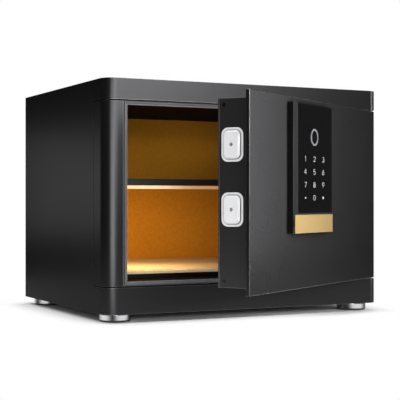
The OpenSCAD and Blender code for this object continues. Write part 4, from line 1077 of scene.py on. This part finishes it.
def studio_world(look):
    """Even light from all round. Shiny surfaces see a white background in a dim room."""
    world = bpy.data.worlds.new("studio")
    bpy.context.scene.world = world
    tree = empty_tree(world)
    path = add(tree, "ShaderNodeLightPath").outputs
    way = add(tree, "ShaderNodeTexCoord").outputs["Generated"]
    toward = vector(tree, "DOT_PRODUCT", way, BACKGROUND_WAY)["Value"]
    behind = smooth_step(tree, toward, *BACKGROUND_EDGE, low=look.dark)
    room = add(tree, "ShaderNodeCombineColor", {0: behind, 1: behind, 2: behind}).outputs[0]
    shiny = blend_color(tree, path["Is Glossy Ray"], rgba([look.fill] * 3), room)
    seen = calc(tree, "MAXIMUM", path["Is Camera Ray"], path["Is Transmission Ray"])
    color = blend_color(tree, seen, shiny, WHITE)
    background = add(tree, "ShaderNodeBackground", {"Color": color, "Strength": 1.0})
    add(tree, "ShaderNodeOutputWorld", {"Surface": background.outputs[0]})


def studio_floor(look):
    """A pale floor that keeps the shadow, and turns to plain white away from the object."""
    shape = bmesh.new()
    bmesh.ops.create_grid(shape, x_segments=8, y_segments=8, size=FLOOR_REACH)
    mesh = write_mesh(shape, bpy.data.meshes.new("studio_floor"))
    floor = new_object("studio_floor", mesh)
    floor.location.z = FLOOR_Z
    made = bpy.data.materials.new("studio_paper")
    tree = empty_tree(made)
    path = add(tree, "ShaderNodeLightPath").outputs
    point = object_point(tree)
    # How far a point is from the cabinet's outline, with its height taken out by the last number
    beside = vector(tree, "ABSOLUTE", point)[0]
    beside = vector(tree, "SUBTRACT", beside, (CABINET_W / 2, CABINET_D / 2, 9.0))[0]
    beside = vector(tree, "MAXIMUM", beside)[0]
    away = vector(tree, "LENGTH", beside)["Value"]
    lift = smooth_step(tree, away, 0.0, SHADOW_REACH)
    seen = calc(tree, "MAXIMUM",
                calc(tree, "MAXIMUM", path["Is Camera Ray"], path["Is Glossy Ray"]),
                path["Is Transmission Ray"])
    fibre = noise_value(tree, point, 700.0, 3.0)
    bump = add(tree, "ShaderNodeBump", {"Height": fibre, "Distance": 0.00004}).outputs[0]
    diffuse = add(tree, "ShaderNodeBsdfDiffuse",
                  {"Color": rgba(look.floor_color), "Normal": bump}).outputs[0]
    white = add(tree, "ShaderNodeEmission", {"Color": WHITE, "Strength": 1.0}).outputs[0]
    both = add(tree, "ShaderNodeMixShader",
               {0: calc(tree, "MULTIPLY", lift, seen), 1: diffuse, 2: white}).outputs[0]
    under = add(tree, "ShaderNodeNewGeometry").outputs["Backfacing"]
    clear = add(tree, "ShaderNodeBsdfTransparent").outputs[0]
    sided = add(tree, "ShaderNodeMixShader", {0: under, 1: both, 2: clear}).outputs[0]
    add(tree, "ShaderNodeOutputMaterial", {"Surface": sided})
    mesh.materials.append(made)


class SAFE_OT_stage(bpy.types.Operator):
    """Sets up the camera, the world, the floor, the softboxes and the lamp's own light"""
    bl_idname = "safe.stage"
    bl_label = "Stage"

    def execute(self, context):
        look = context.scene.safe_studio
        studio_camera(look)
        studio_world(look)
        studio_floor(look)
        for name, values in SOFTBOXES.items():
            softbox(name, *values)
        shelf_lamp(context.scene.safe_inside)
        context.scene.view_settings.view_transform = "Standard"
        return {"FINISHED"}


LOOKS = {
    "safe_cabinet": SafeCabinetLook,
    "safe_door": SafeDoorLook,
    "safe_panel": SafePanelLook,
    "safe_inside": SafeInsideLook,
    "safe_studio": SafeStudioLook,
}
OPERATORS = (SAFE_OT_cabinet, SAFE_OT_doorway, SAFE_OT_inside, SAFE_OT_mat, SAFE_OT_feet,
             SAFE_OT_door, SAFE_OT_bolts, SAFE_OT_panel, SAFE_OT_works, SAFE_OT_stage)


class SAFE_PT_sidebar(bpy.types.Panel):
    """Lists the pieces with their sizes and colours"""
    bl_idname = "SAFE_PT_sidebar"
    bl_label = "Safe"
    bl_space_type = "VIEW_3D"
    bl_region_type = "UI"
    bl_category = "Safe"

    def draw(self, context):
        for operator in OPERATORS:
            self.layout.operator(operator.bl_idname, text=operator.bl_label)
        for name, look in LOOKS.items():
            box = self.layout.box()
            box.label(text=look.__doc__)
            for key in look.__annotations__:
                box.prop(getattr(context.scene, name), key)


def register():
    for made in (*LOOKS.values(), *OPERATORS, SAFE_PT_sidebar):
        bpy.utils.register_class(made)
    for name, look in LOOKS.items():
        setattr(bpy.types.Scene, name, bpy.props.PointerProperty(type=look))


def unregister():
    for name in LOOKS:
        delattr(bpy.types.Scene, name)
    for made in (SAFE_PT_sidebar, *reversed(OPERATORS), *reversed(LOOKS.values())):
        bpy.utils.unregister_class(made)


def main():
    register()
    for operator in OPERATORS:
        _, name = operator.bl_idname.split(".")
        getattr(bpy.ops.safe, name)()


if __name__ == "__main__":
    main()
